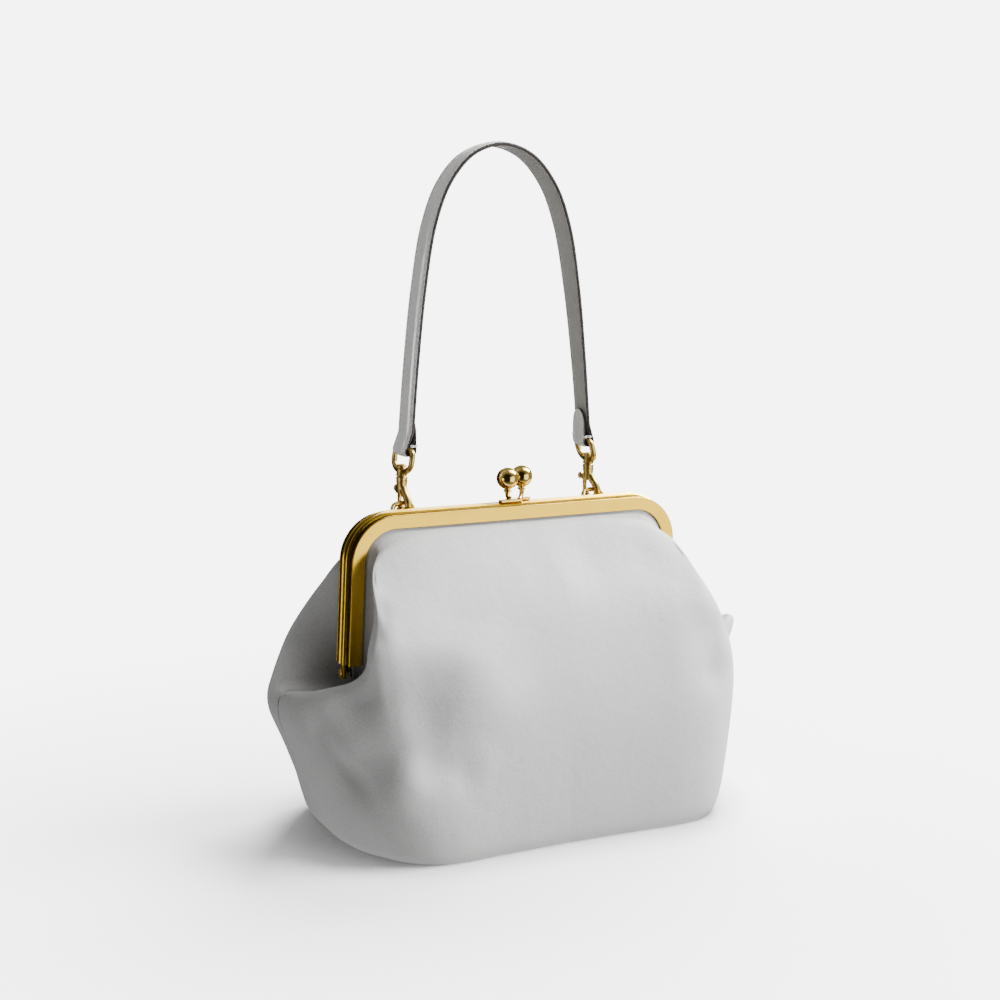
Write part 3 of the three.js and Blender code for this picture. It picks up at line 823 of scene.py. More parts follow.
@dataclass
class Pouch:
    """Two soft leather panels gripped by the frame and joined at the side seams and under the base."""

    line: FrameLine
    thick: float = 2.0
    face: float = 8.2
    tuck: float = 3.8
    mouth: float = 9.0
    seam_gap: float = 0.15
    seam_groove: float = 0.55
    seam_reach: float = 1.3
    roll_rounds: int = 44
    roll_above: tuple[int, int] = (18, 7)
    roll_below: tuple[int, int] = (12, 24)
    roll_past: int = 14
    base_inset: float = 0.96
    stations: tuple[tuple[float, Row, Row, Row, Row, Row], ...] = (
        (0, (-99, 0, 79), (-134, 0, 85.5), (-138.5, 0, 76), (-132, 0, 45), (-113, 0, 6)),
        (0, (-98, -13, 86), (-128, -15, 88), (-134, -18, 76), (-128, -21, 46), (-112, -18, 6)),
        (16, (-95, -19, 106), (-118, -37, 98), (-123, -40, 83), (-120, -43, 50), (-110, -40, 6)),
        (36, (-93.5, -19, 127), (-111, -43, 115), (-113, -52, 96), (-110, -57, 56), (-103, -56, 6)),
        (56, (-91.5, -16, 147), (-102.5, -37, 134), (-100, -53, 109), (-97, -64, 62), (-90, -67, 6)),
        (78, (-86, -11.5, 161.5), (-92, -21, 153), (-81, -48, 118), (-77, -65.5, 66), (-70, -70, 6)),
        (112, (-62, -10.5, 167.6), (-62, -16, 162.5), (-50, -45, 120), (-45, -64, 68), (-38, -68.5, 6)),
        (173, (0, -10.5, 167.6), (0, -15, 162.5), (0, -45, 120), (0, -63.5, 68), (0, -67.5, 6)),
    )
    seam_top: tuple[Row, Row] = ((-97.5, 0, 84.5), (-94.5, 0, 83.5))
    columns: tuple[int, ...] = (30, 26, 20, 18, 24, 24, 30)
    rows: tuple[int, ...] = (3, 10, 26, 18, 24, 26, 10)
    base_rows: int = 8
    folds: tuple[Fold, ...] = (
        Fold((-120, -38, 92), (-114, -45, 50), 20, (5, 3, 0)),
        Fold((-113, -40, 112), (-106, -40, 124), 13, (3, 0, 0)),
        Fold((-106, -50, 0), (-95, -66, 0), 21, (6.5, 2, 0)),
        Fold((-132, 18, 90), (-126, 28, 100), 25, (-9, 2, 0)),
        Fold((139, 0, 82), (131, 0, 90), 14, (4.8, 0, 6)),
    )
    ears: tuple[Fold, ...] = (
        Fold((142, -3, 90), (142, 3, 90), 9, (9.7, 0, 8)),
        Fold((136, -4, 93), (136, 4, 93), 7, (2, 0, 3.5)),
    )
    creases: tuple[Crease, ...] = (
        # Hollow down the left corner, and the valley beside the leg
        Crease((-110, -40, 115), (-95, -60, 35), 22, 8.5),
        Crease((-95, -18, 140), (-100, -18, 85), 6, 3.5),
        Crease((-95, -30, 140), (-105, -50, 110), 6, 2.0),
        # Pleat from the seam to the base corner, with the ridge above it
        Crease((-135, -15, 85), (-110, -45, 35), 6, 2.0),
        Crease((-130, -25, 65), (-80, -70, 5), 7, 2.5),
        Crease((-130, -25, 70), (-80, -70, 40), 15, -5.0),
        # Dent under the rim, the band beside it and the small dent below
        Crease((-125, -25, 90), (-65, -65, 75), 14, 4.5),
        Crease((-75, -50, 115), (-75, -70, 45), 15, 2.0),
        Crease((-95, -60, 55), (-50, -70, 45), 10, 2.0),
        # Swell of the front beside the dents
        Crease((-60, -45, 125), (-35, -65, 60), 22, -3.5),
        # Right edge and the hollow under the frame
        Crease((100, -45, 120), (95, -65, 65), 12, 3.0),
        Crease((10, -30, 145), (95, -25, 150), 22, 2.5),
        # Back, which the photo does not show
        Crease((-95, 45, 110), (-60, 65, 40), 17, 2.6),
        Crease((100, 40, 115), (65, 65, 35), 18, 2.8),
        Crease((-30, 45, 120), (45, 60, 80), 26, -2.4),
        Crease((110, 50, 75), (70, 70, 20), 12, -2.0),
        Crease((-110, 50, 65), (-65, 70, 20), 12, -1.8),
    )

    def half(self) -> np.ndarray:
        """Columns of the front left quarter, from the frame down to the seam under the base.

        Returns:
            Points, shape (columns, rows, 3).
        """
        at = np.concatenate([[0.0]] + [k + np.arange(1, n + 1) / n for k, n in enumerate(self.columns)])
        table = np.array([[s[0], *(v for point in s[1:] for v in point)] for s in self.stations], float)
        values = blend_rows(table, at)
        run = np.where(at > 1, np.clip(values[:, 0], 0, self.line.half_run), 0.0)
        rise = np.where(at < 1, at**1.5, 1.0)[:, None]
        control = []
        for inset, end in zip((self.tuck, self.mouth), self.seam_top):
            x, z = self.line.point(run, np.full_like(run, inset))
            point = np.column_stack([x, np.full_like(x, -self.face), z])
            control.append(point * rise + np.array(end) * (1 - rise))
        lines = values[:, 1:].reshape(len(at), -1, 3)
        edge = lines[:, -1] * np.array([self.base_inset, self.base_inset, 0])
        control = np.concatenate([np.stack(control, axis=1), lines, edge[:, None]], axis=1)
        wall = centripetal(control, self.rows)
        share = np.arange(1, self.base_rows + 1) / self.base_rows
        base = edge[:, None] * np.stack([1 - 0.05 * share, 1 - share, 0 * share], axis=1)
        return np.concatenate([wall, base], axis=1)

    def outer(self, side: Face) -> np.ndarray:
        """Outer face of one panel.

        Args:
            side: Which panel.

        Returns:
            Points, shape (columns, rows, 3).
        """
        left = self.half()
        grid = np.concatenate([left, left[-2::-1] * np.array([-1, 1, 1])], axis=0)
        grid = grid * np.array([1, -side.value, 1])
        row = np.arange(grid.shape[1])
        free = smoothstep(row, self.rows[0], sum(self.rows[:2]) + self.rows[2] * 0.3)[None, :, None]
        grid = self.rolled(grid + free * sum(fold.shift(grid) for fold in self.folds))
        grid = grid + free * sum(ear.shift(grid) for ear in self.ears)
        sunk = sum(crease.sunk(grid) for crease in self.creases) * smoothstep(grid[..., 2], 1.0, 24.0)
        sunk = sunk + self.groove(grid)
        grid = grid - free * sunk[..., None] * self.normals(grid, side)
        depth = np.maximum(side.value * grid[..., 1], self.seam_gap)
        depth[[0, -1], :] = self.seam_gap
        depth[:, -1] = self.seam_gap
        grid[..., 1] = side.value * depth
        grid[..., 2] = np.maximum(grid[..., 2], 0)
        return grid

    def rolled(self, grid: np.ndarray) -> np.ndarray:
        """Roll the rims of the side wells over softly.

        Args:
            grid: Outer face.

        Returns:
            The softened face.
        """
        rim = sum(self.rows[:3])
        row, column = (np.arange(n) for n in grid.shape[:2][::-1])
        above = smoothstep(row, *(rim - k for k in self.roll_above))
        below = smoothstep(row, *(rim + k for k in self.roll_below))
        near = above * (1 - below)
        ends = sum(self.columns[:4]), sum(self.columns[:5]) + self.roll_past
        beside = 1 - smoothstep(np.minimum(column, column[::-1]), *ends)
        share = 0.5 * (beside[:, None] * near)[:, 1:-1, None]
        soft = grid.copy()
        for _ in range(self.roll_rounds):
            middle = (soft[:, :-2] + soft[:, 2:]) / 2
            soft[:, 1:-1] += share * (middle - soft[:, 1:-1])
        return soft

    def groove(self, grid: np.ndarray) -> np.ndarray:
        """Depth that the leather is drawn in beside the side seams.

        Args:
            grid: Outer face.

        Returns:
            Depths, shape (columns, rows).
        """
        step = np.linalg.norm(np.diff(grid, axis=0), axis=-1)
        zero = np.zeros((1, grid.shape[1]))
        from_left = np.concatenate([zero, np.cumsum(step, axis=0)])
        from_right = np.concatenate([np.cumsum(step[::-1], axis=0)[::-1], zero])
        near = np.minimum(from_left, from_right)
        return self.seam_groove * np.exp(-((near / self.seam_reach) ** 2))

    @staticmethod
    def normals(grid: np.ndarray, side: Face) -> np.ndarray:
        """Outward normals of a panel.

        Args:
            grid: Outer face.
            side: Which panel.

        Returns:
            Unit normals of the same shape.
        """
        return unit(np.cross(np.gradient(grid, axis=0), np.gradient(grid, axis=1)) * side.value)

    def solid(self, side: Face) -> Solid:
        """Closed panel with its inner face.

        Args:
            side: Which panel.

        Returns:
            The panel.
        """
        outer = self.outer(side)
        inner = outer - self.thick * self.normals(outer, side)
        gripped = slice(self.rows[0] + 1)
        inner[:, gripped] = outer[:, gripped] - np.array([0, side.value * self.thick, 0])
        short = np.maximum(self.seam_gap - side.value * inner[..., 1], 0)
        inner[..., 0] -= np.sign(inner[..., 0]) * short
        inner[..., 1] = side.value * np.maximum(side.value * inner[..., 1], self.seam_gap)
        inner[..., 2] = np.maximum(inner[..., 2], self.thick)
        wide, tall = outer.shape[:2]
        at = np.arange(wide * tall).reshape(wide, tall)
        under = at + wide * tall
        sheets = [(at[:-1, :-1], at[1:, :-1], at[1:, 1:], at[:-1, 1:]),
                  (under[:-1, :-1], under[:-1, 1:], under[1:, 1:], under[1:, :-1])]
        top, bottom = (at[:, 0], under[:, 0]), (under[:, -1], at[:, -1])
        for a, b in (top, bottom, (under[0], at[0]), (at[-1], under[-1])):
            sheets.append((a[:-1], b[:-1], b[1:], a[1:]))
        faces: list[tuple[int, ...]] = []
        for sheet in sheets:
            faces += [tuple(quad) for quad in np.stack([s.ravel() for s in sheet], axis=1).tolist()]
        return Solid(np.vstack([outer.reshape(-1, 3), inner.reshape(-1, 3)]), faces, [0] * len(faces))

    def build(self) -> list[bpy.types.Object]:
        """Build and dress both panels.

        Returns:
            The pieces.
        """
        leather = POUCH_LEATHER.material()
        pieces = []
        for side in Face:
            name = side.name.lower()
            panel = self.solid(side).build(f"pouch_{name}", [leather], 60)
            pieces.append(settle(panel, "bag", Slot.POUCH, f"{name}_panel"))
        return pieces


@dataclass
class HingedFrame:
    """Two channel halves, hinged on a rivet at the foot of each leg, and the two strap loops."""

    line: FrameLine
    section: tuple[Row, ...] = (
        (2.5, 0.15, 0.2), (2.0, 0.15, 0.2), (1.7, 0.65, 0.3), (0.4, 0.95, 0.6), (-0.3, 1.6, 0.9),
        (-0.3, 3.1, 0.9), (0.6, 3.75, 0.6), (1.5, 4.0, 0.3), (2.3, 4.5, 0.3), (2.3, 7.6, 0.4),
        (1.1, 8.2, 0.3), (1.05, 9.35, 0.8), (8.5, 9.4, 0.42), (8.5, 8.5, 0.4), (3.3, 8.5, 0.1),
        (3.3, 5.9, 0.1), (8.8, 5.9, 0.4), (8.8, 5.0, 0.4), (2.6, 5.0, 0.2),
    )
    # Faces within this inset, in the groove or on the lip step, take the near-black brass of painted shade.
    painted_shade_inset: float = 2.45
    groove: tuple[float, float] = (4.05, 8.1)
    lip_step: tuple[float, float] = (0.6, 0.9)
    pivot: float = 91.9
    eye_radius: float = 3.5
    eye_thick: float = 1.1
    eye_layers: tuple[float, float] = (0.1, 1.5)
    neck_top: float = 100.0
    neck_y: tuple[float, float] = (3.3, 0.45)
    rivet: float = 1.3
    rivet_head: float = 2.5
    loop_rows: tuple[Row, ...] = (
        (6.2, 9.9, -8.6), (6.6, 10.5, -6.2), (6.6, 12.6, -3.4), (4.8, 14.5, -0.9), (0, 15, 0),
    )
    loop_at: tuple[float, float] = (-61.35, 59.85)
    loop_crown: float = 179.9
    loop_wire: float = 1.4

    def channel(self, side: Face) -> Solid:
        """Channel of one half, bent round the mouth.

        Args:
            side: Which half.

        Returns:
            The channel.
        """
        outline = filleted(self.section, 6)
        line = self.line
        runs = np.concatenate([
            np.linspace(0, line.leg_run, 14, endpoint=False),
            np.linspace(line.leg_run, line.leg_run + line.corner_run, 40, endpoint=False),
            np.linspace(line.leg_run + line.corner_run, line.half_run, 16),
        ])
        x, z = line.point(runs[:, None], outline[None, :, 0])
        y = np.broadcast_to(side.value * outline[None, :, 1], x.shape)
        left = np.stack([x, y, z], axis=-1)
        inset, apart = ((outline + np.roll(outline, -1, axis=0)) / 2).T
        groove = (apart > self.groove[0]) & (apart < self.groove[1])
        step = (inset > self.lip_step[0]) & (apart < self.lip_step[1])
        # Painted shade: groove and lip-step faces go into slot 1, the near-black brass.
        painted_shade_faces = (inset < self.painted_shade_inset) & (groove | step)
        whole = np.concatenate([left, left[-2::-1] * np.array([-1, 1, 1])])
        return Solid.skin(whole, slots=painted_shade_faces.astype(int).tolist())

    def eye(self, side: Face, mirror: Side) -> Solid:
        """Flat hinge eye below a leg.

        Args:
            side: Which half.
            mirror: Which leg.

        Returns:
            The eye.
        """
        start = 0.0 if side is Face.BACK else math.pi
        angle = start - side.value * math.pi * 1.06 * np.linspace(0, 1, 25)
        far, near = (side.value * y for y in self.neck_y)
        arc = np.column_stack([self.eye_radius * np.cos(angle), self.eye_radius * np.sin(angle)])
        neck, end = self.neck_top - self.pivot, self.line.end - self.pivot
        outline = np.vstack([[(far, neck)], arc, [(near, end), (near, neck)]])
        plate = Solid.plate(outline, 0, self.eye_thick, 0.25)
        outer = float(self.line.point(np.array(0.0), np.array(0.0))[0])
        outer += self.eye_layers[0 if side is Face.FRONT else 1]
        place = Matrix(((0, 0, 1, outer), (1, 0, 0, 0), (0, 1, 0, self.pivot), (0, 0, 0, 1)))
        eye = plate.moved(place)
        return eye if mirror is Side.LEFT else eye.moved(Matrix.Diagonal((-1, 1, 1, 1)))

    def loop(self, x: float) -> Solid:
        """Wire staple behind the back half, which a hook holds.

        Args:
            x: Middle of the staple.

        Returns:
            The staple.
        """
        left = [(x - span, y, self.loop_crown + drop) for span, y, drop in self.loop_rows]
        right = [(x + span, y, self.loop_crown + drop) for span, y, drop in self.loop_rows[-2::-1]]
        path = centripetal(np.array(left + right, float), [8] * (len(left) + len(right) - 1))
        return Solid.tube(path, (self.loop_wire, self.loop_wire), 20, (0, 0.6, 0.8)).in_slot(2)

    def pin(self, mirror: Side) -> Solid:
        """Domed rivet through the hinge eyes.

        Args:
            mirror: Which leg.

        Returns:
            The rivet.
        """
        outer = float(self.line.point(np.array(0.0), np.array(0.0))[0])
        out = outer + self.eye_layers[0] - 0.3
        inside = outer + self.eye_layers[1] + self.eye_thick + 0.3
        angles = np.linspace(0.02, math.pi / 2, 12)
        dome = [(self.rivet_head * math.sin(a), out - 0.2 - 0.8 * math.cos(a)) for a in angles]
        tail = [(2.0, inside), (1.9, inside + 0.6), (1.5, inside + 0.8), (0.0, inside + 0.8)]
        profile = [*dome, (self.rivet_head, out), (self.rivet, out), (self.rivet, inside), *tail]
        place = Matrix.Translation((0, 0, self.pivot)) @ Matrix.Rotation(math.pi / 2, 4, "Y")
        rivet = Solid.turned(profile, 40).moved(place)
        return rivet if mirror is Side.LEFT else rivet.moved(Matrix.Diagonal((-1, 1, 1, 1)))

    def build(self) -> list[bpy.types.Object]:
        """Build and dress the halves and rivets.

        Returns:
            The pieces.
        """
        metals = [finish.material() for finish in (SATIN_BRASS, PAINTED_SHADE_BRASS, HOOK_BRASS)]
        polished = POLISHED_BRASS.material()
        pieces = []
        for side in Face:
            half = self.channel(side).joined(*(self.eye(side, mirror) for mirror in Side))
            if side is Face.BACK:
                half = half.joined(*(self.loop(x) for x in self.loop_at))
            name = side.name.lower()
            pieces.append(settle(half.build(f"frame_{name}", metals, 35), "bag", Slot.SATIN, f"{name}_frame"))
        for mirror in Side:
            name = mirror.name.lower()
            rivet = self.pin(mirror).build(f"hinge_rivet_{name}", [polished])
            pieces.append(settle(rivet, "bag", Slot.POLISHED, f"pivot_rivet_{name}"))
        return pieces


@dataclass
class KissLock:
    """Two crossing clasps, each a plate on the lip with a stem and a bead."""

    x: float = 1.2
    bead: float = 6.2
    bead_at: Row = (5.8, 2.6, 192.4)
    plate_x: tuple[float, float] = (-10.5, 3.2)
    plate_y: tuple[float, float] = (-4.25, -0.45)
    plate_z: tuple[float, float] = (178.7, 180.5)
    stem: float = 1.35

    def clasp(self) -> Solid:
        """Front clasp about the lock's own axis.

        Returns:
            The clasp.
        """
        (x0, x1), (y0, y1), (z0, z1) = self.plate_x, self.plate_y, self.plate_z
        outline = filleted([(x0, y0, 0.6), (x1, y0, 0.6), (x1, y1, 0.6), (x0, y1, 0.6)])
        plate = Solid.plate(outline, z0, z1, 0.35)
        angles = np.linspace(-math.pi / 2 + 0.3, math.pi / 2 - 0.01, 40)
        ball = [(0.0, -self.bead)] + [(self.bead * math.cos(a), self.bead * math.sin(a)) for a in angles]
        bead = Solid.turned(ball, 64)
        neck = -self.bead
        collar = Solid.turned([
            (0.0, neck - 1.6), (1.8, neck - 1.6), (2.15, neck - 1.3), (2.3, neck - 0.9), (2.15, neck - 0.4),
            (1.85, neck), (1.9, neck + 0.4), (0.0, neck + 0.4),
        ], 40)
        place = Matrix.Translation(self.bead_at)
        foot = np.array([x1 - 1.6, (y0 + y1) / 2, z0 + self.stem + 0.1])
        bend = np.array([x1 + 1.2, -1.2, z1])
        top = np.array(self.bead_at) + np.array([0, 0, 1 - self.bead])
        f = np.linspace(0, 1, 24)[:, None]
        path = (1 - f) ** 2 * foot + 2 * f * (1 - f) * bend + f**2 * top
        stem = Solid.tube(path, (self.stem, self.stem), 24)
        return plate.joined(bead.moved(place), collar.moved(place), stem)

    def build(self) -> list[bpy.types.Object]:
        """Build and dress both clasps.

        Returns:
            The pieces.
        """
        polished = POLISHED_BRASS.material()
        shape = self.clasp()
        pieces = []
        for side, turn in ((Face.FRONT, 0.0), (Face.BACK, math.pi)):
            name = side.name.lower()
            place = Matrix.Translation((self.x, 0, 0)) @ Matrix.Rotation(turn, 4, "Z")
            clasp = shape.moved(place).build(f"lock_{name}", [polished])
            pieces.append(settle(clasp, "bag", Slot.POLISHED, f"{name}_clasp"))
        return pieces


@dataclass
class SnapHook:
    """Swivel snap hook on one side: hook, thumb lever, pin and the leaning strap ring."""

    side: Side
    yaw: float
    lean: float
    turn: float
    at: Row
    wire: tuple[float, float] = (2.1, 2.2)
    arm: tuple[Row, ...] = (
        (0.4, -5.5), (2.6, -9.2), (5.2, -12.8), (6.3, -16),
        (5.4, -19), (2.4, -20.8), (-0.6, -19.9), (-1.7, -17.8),
    )
    pin_at: Row = (-1.3, -7.8)
    pin: float = 0.8
    slot: float = 2.4
    ring: tuple[float, float] = (11.5, 6.4)
    ring_wire: float = 1.65
    ring_lean_z: float = 2.0

    @property
    def label(self) -> str:
        """Name of the side.

        Returns:
            left or right.
        """
        return self.side.name.lower()

    def swivel(self, angle: float) -> Matrix:
        """Place about the swivel axis.

        Args:
            angle: Turn about the axis.

        Returns:
            The transform.
        """
        return Matrix.Translation(self.at) @ Matrix.Rotation(angle, 4, "Z")

    def cross_rod(self, radius: float, length: float, sides: int = 32, soft: float = 0.25) -> Solid:
        """Round rod across the hook on the lever's axis.

        Args:
            radius: Its radius.
            length: Its length.
            sides: Points round it.
            soft: Width of its softened rims.

        Returns:
            The rod.
        """
        half, slight = length / 2, 0.3 * soft
        profile = [
            (0.0, -half), (radius - soft, -half), (radius - slight, -half + slight), (radius, -half + soft),
            (radius, half - soft), (radius - slight, half - slight), (radius - soft, half), (0.0, half),
        ]
        place = Matrix.Translation((self.pin_at[0], 0, self.pin_at[1])) @ Matrix.Rotation(math.pi / 2, 4, "X")
        return Solid.turned(profile, sides).moved(place)

    def body(self, metal: bpy.types.Material) -> bpy.types.Object:
        """Barrel, stud and arm with the lever's slot cut out.

        Args:
            metal: Its material.

        Returns:
            The hook.
        """
        barrel = Solid.turned([
            (0, -10), (1.0, -9.9), (1.8, -9.6), (2.4, -9.0), (2.75, -8), (2.85, -6.5), (2.9, -5),
            (3.0, -4.2), (3.15, -3.4), (3.2, -3), (3.2, -2.75), (2.95, -2.6), (2.95, -2.35), (3.2, -2.2),
            (3.2, -0.95), (3.1, -0.6), (2.8, -0.3), (1.4, -0.3), (1.4, 4.9), (2.5, 4.9), (2.65, 5.0),
            (2.65, 5.7), (2.4, 6.1), (1.7, 6.4), (0.8, 6.5), (0, 6.5),
        ], 40)
        points = np.array([(reach, 0, drop) for reach, drop in self.arm], float)
        path = centripetal(points, [8] * (len(points) - 1))
        arm = Solid.tube(path, self.wire, 24)
        tip = Solid.turned([(0, -1.1), (0.9, -0.9), (1.4, -0.3), (1.4, 0.3), (0.9, 0.9), (0, 1.1)], 24)
        tip = tip.moved(Matrix.Translation(path[-1].tolist()))
        place = self.swivel(self.yaw)
        whole = barrel.joined(arm, tip, self.cross_rod(2.1, 4.8)).moved(place)
        hook = whole.build(f"snap_hook_{self.label}", [metal])
        x, z = self.pin_at[0] - 0.7, self.pin_at[1] - 2.6
        half = self.slot / 2
        outline = filleted([
            (x - 2.5, -half, 0), (x + 2.5, -half, 0), (x + 2.5, half, 0), (x - 2.5, half, 0),
        ])
        ends = [np.column_stack([outline, np.full(4, level)]) for level in (z - 6, z + 6)]
        slot = Solid.skin(np.array(ends))
        carve(hook, slot.moved(place).build("slot_tool", []))
        return hook

    def lever(self, metal: bpy.types.Material) -> bpy.types.Object:
        """Sprung lever with its thumb knob.

        Args:
            metal: Its material.

        Returns:
            The lever.
        """
        width = self.slot - 0.6
        outline = filleted([
            (-1.35, 1.5, 0.3), (-3.6, 1.6, 0.9), (-4.2, 0.6, 0.8), (-3.4, -0.4, 0.6), (-2.0, -0.6, 0.5),
            (-1.9, -8.0, 0.6), (-0.2, -8.0, 0.5), (0.3, -1.6, 0.4), (1.35, -0.3, 0.6), (1.2, 0.9, 0.7),
            (0.3, 1.45, 0.6),
        ])
        blade = Solid.plate(outline, -width / 2, width / 2, 0.2)
        stand = Matrix(((1, 0, 0, self.pin_at[0]), (0, 0, -1, 0), (0, 1, 0, self.pin_at[1]), (0, 0, 0, 1)))
        angles = np.linspace(-1.56, 1.56, 24)
        knob = Solid.turned([(2.1 * math.cos(a), 2.1 * math.sin(a)) for a in angles], 32)
        size = Matrix.Diagonal((0.8, 0.9, 1, 1))
        knob = knob.moved(Matrix.Translation((self.pin_at[0] - 3.7, 0, self.pin_at[1] + 0.5)) @ size)
        place = self.swivel(self.yaw)
        lever = blade.moved(stand).joined(knob).moved(place).build(f"snap_lever_{self.label}", [metal])
        carve(lever, self.cross_rod(self.pin + 0.35, 8, 24, 0.01).moved(place).build("bore_tool", []))
        return lever

    def eye(self) -> Solid:
        """Leaning strap ring with the collar that turns on the stud.

        Returns:
            The ring and collar.
        """
        wide, high = self.ring
        angle = np.linspace(0, 2 * math.pi, 120, endpoint=False)
        power = np.where(np.sin(angle) > 0, 0.5, 0.9)
        c = np.sign(np.cos(angle)) * np.abs(np.cos(angle)) ** power
        s = np.sign(np.sin(angle)) * np.abs(np.sin(angle)) ** power
        middle = self.ring_wire + high + 0.6
        even = np.column_stack([0 * angle, wide * c, middle + high * s])
        loop = np.vstack([even, even[:1]])
        length = np.concatenate([[0], np.cumsum(np.linalg.norm(np.diff(loop, axis=0), axis=1))])
        at = np.linspace(0, length[-1], 120, endpoint=False)
        path = np.column_stack([np.interp(at, length, loop[:, k]) for k in range(3)])
        ring = Solid.tube(path, (self.ring_wire, self.ring_wire), 20, (1, 0, 0), True)
        shift = Matrix.Translation((0, 0, self.ring_lean_z))
        lean = Matrix.Rotation(-self.side.value * self.lean, 4, "Y")
        collar = Solid.turned([
            (1.8, 0.0), (2.8, 0.0), (3.05, 0.15), (3.2, 0.6), (3.15, 1.0), (2.9, 1.3),
            (2.85, 1.6), (3.0, 1.9), (2.95, 3.4), (2.8, 4.1), (2.5, 4.6), (1.8, 4.6),
        ], 40)
        return ring.moved(shift @ lean @ shift.inverted()).joined(collar)

    def build(self) -> list[bpy.types.Object]:
        """Build and dress the hook's pieces.

        Returns:
            The pieces.
        """
        metal = HOOK_BRASS.material()
        side = self.label
        rod = self.cross_rod(self.pin, 5, 24, 0.2).moved(self.swivel(self.yaw))
        pin = rod.build(f"snap_pin_{side}", [metal])
        ring = self.eye().moved(self.swivel(-self.turn)).build(f"strap_ring_{side}", [metal])
        return [
            settle(self.body(metal), "bag", Slot.POLISHED, f"hook_{side}"),
            settle(self.lever(metal), f"{side}_lever", Slot.POLISHED, f"hook_lever_{side}"),
            settle(pin, "bag", Slot.POLISHED, f"lever_pin_{side}"),
            settle(ring, "bag", Slot.POLISHED, f"hook_eye_{side}"),
        ]


@dataclass
class StitchRow:
    """Sewing thread along paths, laid by geometry nodes."""

    name: str
    pitch: float = 3.3
    length: float = 2.5
    thread: float = 0.26
    seed: int = 7

    def tree(self) -> bpy.types.GeometryNodeTree:
        """Node tree that lays one arched stitch at each step of a path.

        Returns:
            The tree.
        """
        tree = bpy.data.node_groups.new(f"{self.name}_nodes", "GeometryNodeTree")
        face = tree.interface
        face.new_socket("Geometry", in_out="INPUT", socket_type="NodeSocketGeometry")
        for label in ("Pitch", "Stitch Length", "Thread Radius"):
            face.new_socket(label, in_out="INPUT", socket_type="NodeSocketFloat")
        face.new_socket("Seed", in_out="INPUT", socket_type="NodeSocketInt")
        face.new_socket("Thread", in_out="INPUT", socket_type="NodeSocketMaterial")
        face.new_socket("Geometry", in_out="OUTPUT", socket_type="NodeSocketGeometry")

        def add(kind: str, **settings: object) -> bpy.types.Node:
            """Add a node.

            Args:
                kind: Node type.
                settings: Properties of the node.

            Returns:
                The node.
            """
            node = tree.nodes.new(kind)
            for key, value in settings.items():
                setattr(node, key, value)
            return node

        def link(out: bpy.types.NodeSocket, into: bpy.types.NodeSocket) -> None:
            """Link an output to an input."""
            tree.links.new(out, into)

        given, result = add("NodeGroupInput"), add("NodeGroupOutput")
        curve = add("GeometryNodeMeshToCurve")
        link(given.outputs["Geometry"], curve.inputs["Mesh"])
        steps = add("GeometryNodeResampleCurve", mode="LENGTH")
        link(curve.outputs["Curve"], steps.inputs["Curve"])
        link(given.outputs["Pitch"], steps.inputs["Length"])
        tangent = add("GeometryNodeInputTangent")
        facing = add("GeometryNodeInputNamedAttribute", data_type="FLOAT_VECTOR")
        facing.inputs["Name"].default_value = "facing"
        along = add("FunctionNodeAlignRotationToVector", axis="X")
        link(tangent.outputs["Tangent"], along.inputs["Vector"])
        upright = add("FunctionNodeAlignRotationToVector", axis="Z", pivot_axis="X")
        link(along.outputs["Rotation"], upright.inputs["Rotation"])
        link(facing.outputs["Attribute"], upright.inputs["Vector"])
        chance = add("FunctionNodeRandomValue", data_type="FLOAT")
        low = next(s for s in chance.inputs if s.name == "Min" and s.type == "VALUE")
        high = next(s for s in chance.inputs if s.name == "Max" and s.type == "VALUE")
        low.default_value, high.default_value = 0.93, 1.05
        link(given.outputs["Seed"], chance.inputs["Seed"])
        arc = add("GeometryNodeCurveQuadraticBezier")
        arc.inputs["Resolution"].default_value = 8
        half = add("ShaderNodeMath", operation="MULTIPLY")
        half.inputs[1].default_value = 0.5
        link(given.outputs["Stitch Length"], half.inputs[0])
        back = add("ShaderNodeMath", operation="MULTIPLY")
        back.inputs[1].default_value = -0.5
        link(given.outputs["Stitch Length"], back.inputs[0])
        sunk = add("ShaderNodeMath", operation="MULTIPLY")
        sunk.inputs[1].default_value = -1.4
        link(given.outputs["Thread Radius"], sunk.inputs[0])
        crown = add("ShaderNodeMath", operation="MULTIPLY")
        crown.inputs[1].default_value = 1.9
        link(given.outputs["Thread Radius"], crown.inputs[0])
        for label, x, z in (("Start", back, sunk), ("End", half, sunk), ("Middle", None, crown)):
            point = add("ShaderNodeCombineXYZ")
            if x is not None:
                link(x.outputs[0], point.inputs["X"])
            link(z.outputs[0], point.inputs["Z"])
            link(point.outputs["Vector"], arc.inputs[label])
        round_wire = add("GeometryNodeCurvePrimitiveCircle")
        round_wire.inputs["Resolution"].default_value = 8
        link(given.outputs["Thread Radius"], round_wire.inputs["Radius"])
        stitch = add("GeometryNodeCurveToMesh")
        link(arc.outputs["Curve"], stitch.inputs["Curve"])
        link(round_wire.outputs["Curve"], stitch.inputs["Profile Curve"])
        stitch.inputs["Fill Caps"].default_value = True
        sewn = add("GeometryNodeInstanceOnPoints")
        link(steps.outputs["Curve"], sewn.inputs["Points"])
        link(stitch.outputs["Mesh"], sewn.inputs["Instance"])
        link(upright.outputs["Rotation"], sewn.inputs["Rotation"])
        value = next(s for s in chance.outputs if s.type == "VALUE")
        link(value, sewn.inputs["Scale"])
        real = add("GeometryNodeRealizeInstances")
        link(sewn.outputs["Instances"], real.inputs["Geometry"])
        smooth = add("GeometryNodeSetShadeSmooth")
        link(real.outputs["Geometry"], smooth.inputs["Geometry"])
        dress = add("GeometryNodeSetMaterial")
        link(smooth.outputs["Geometry"], dress.inputs["Geometry"])
        link(given.outputs["Thread"], dress.inputs["Material"])
        link(dress.outputs["Geometry"], result.inputs["Geometry"])
        return tree

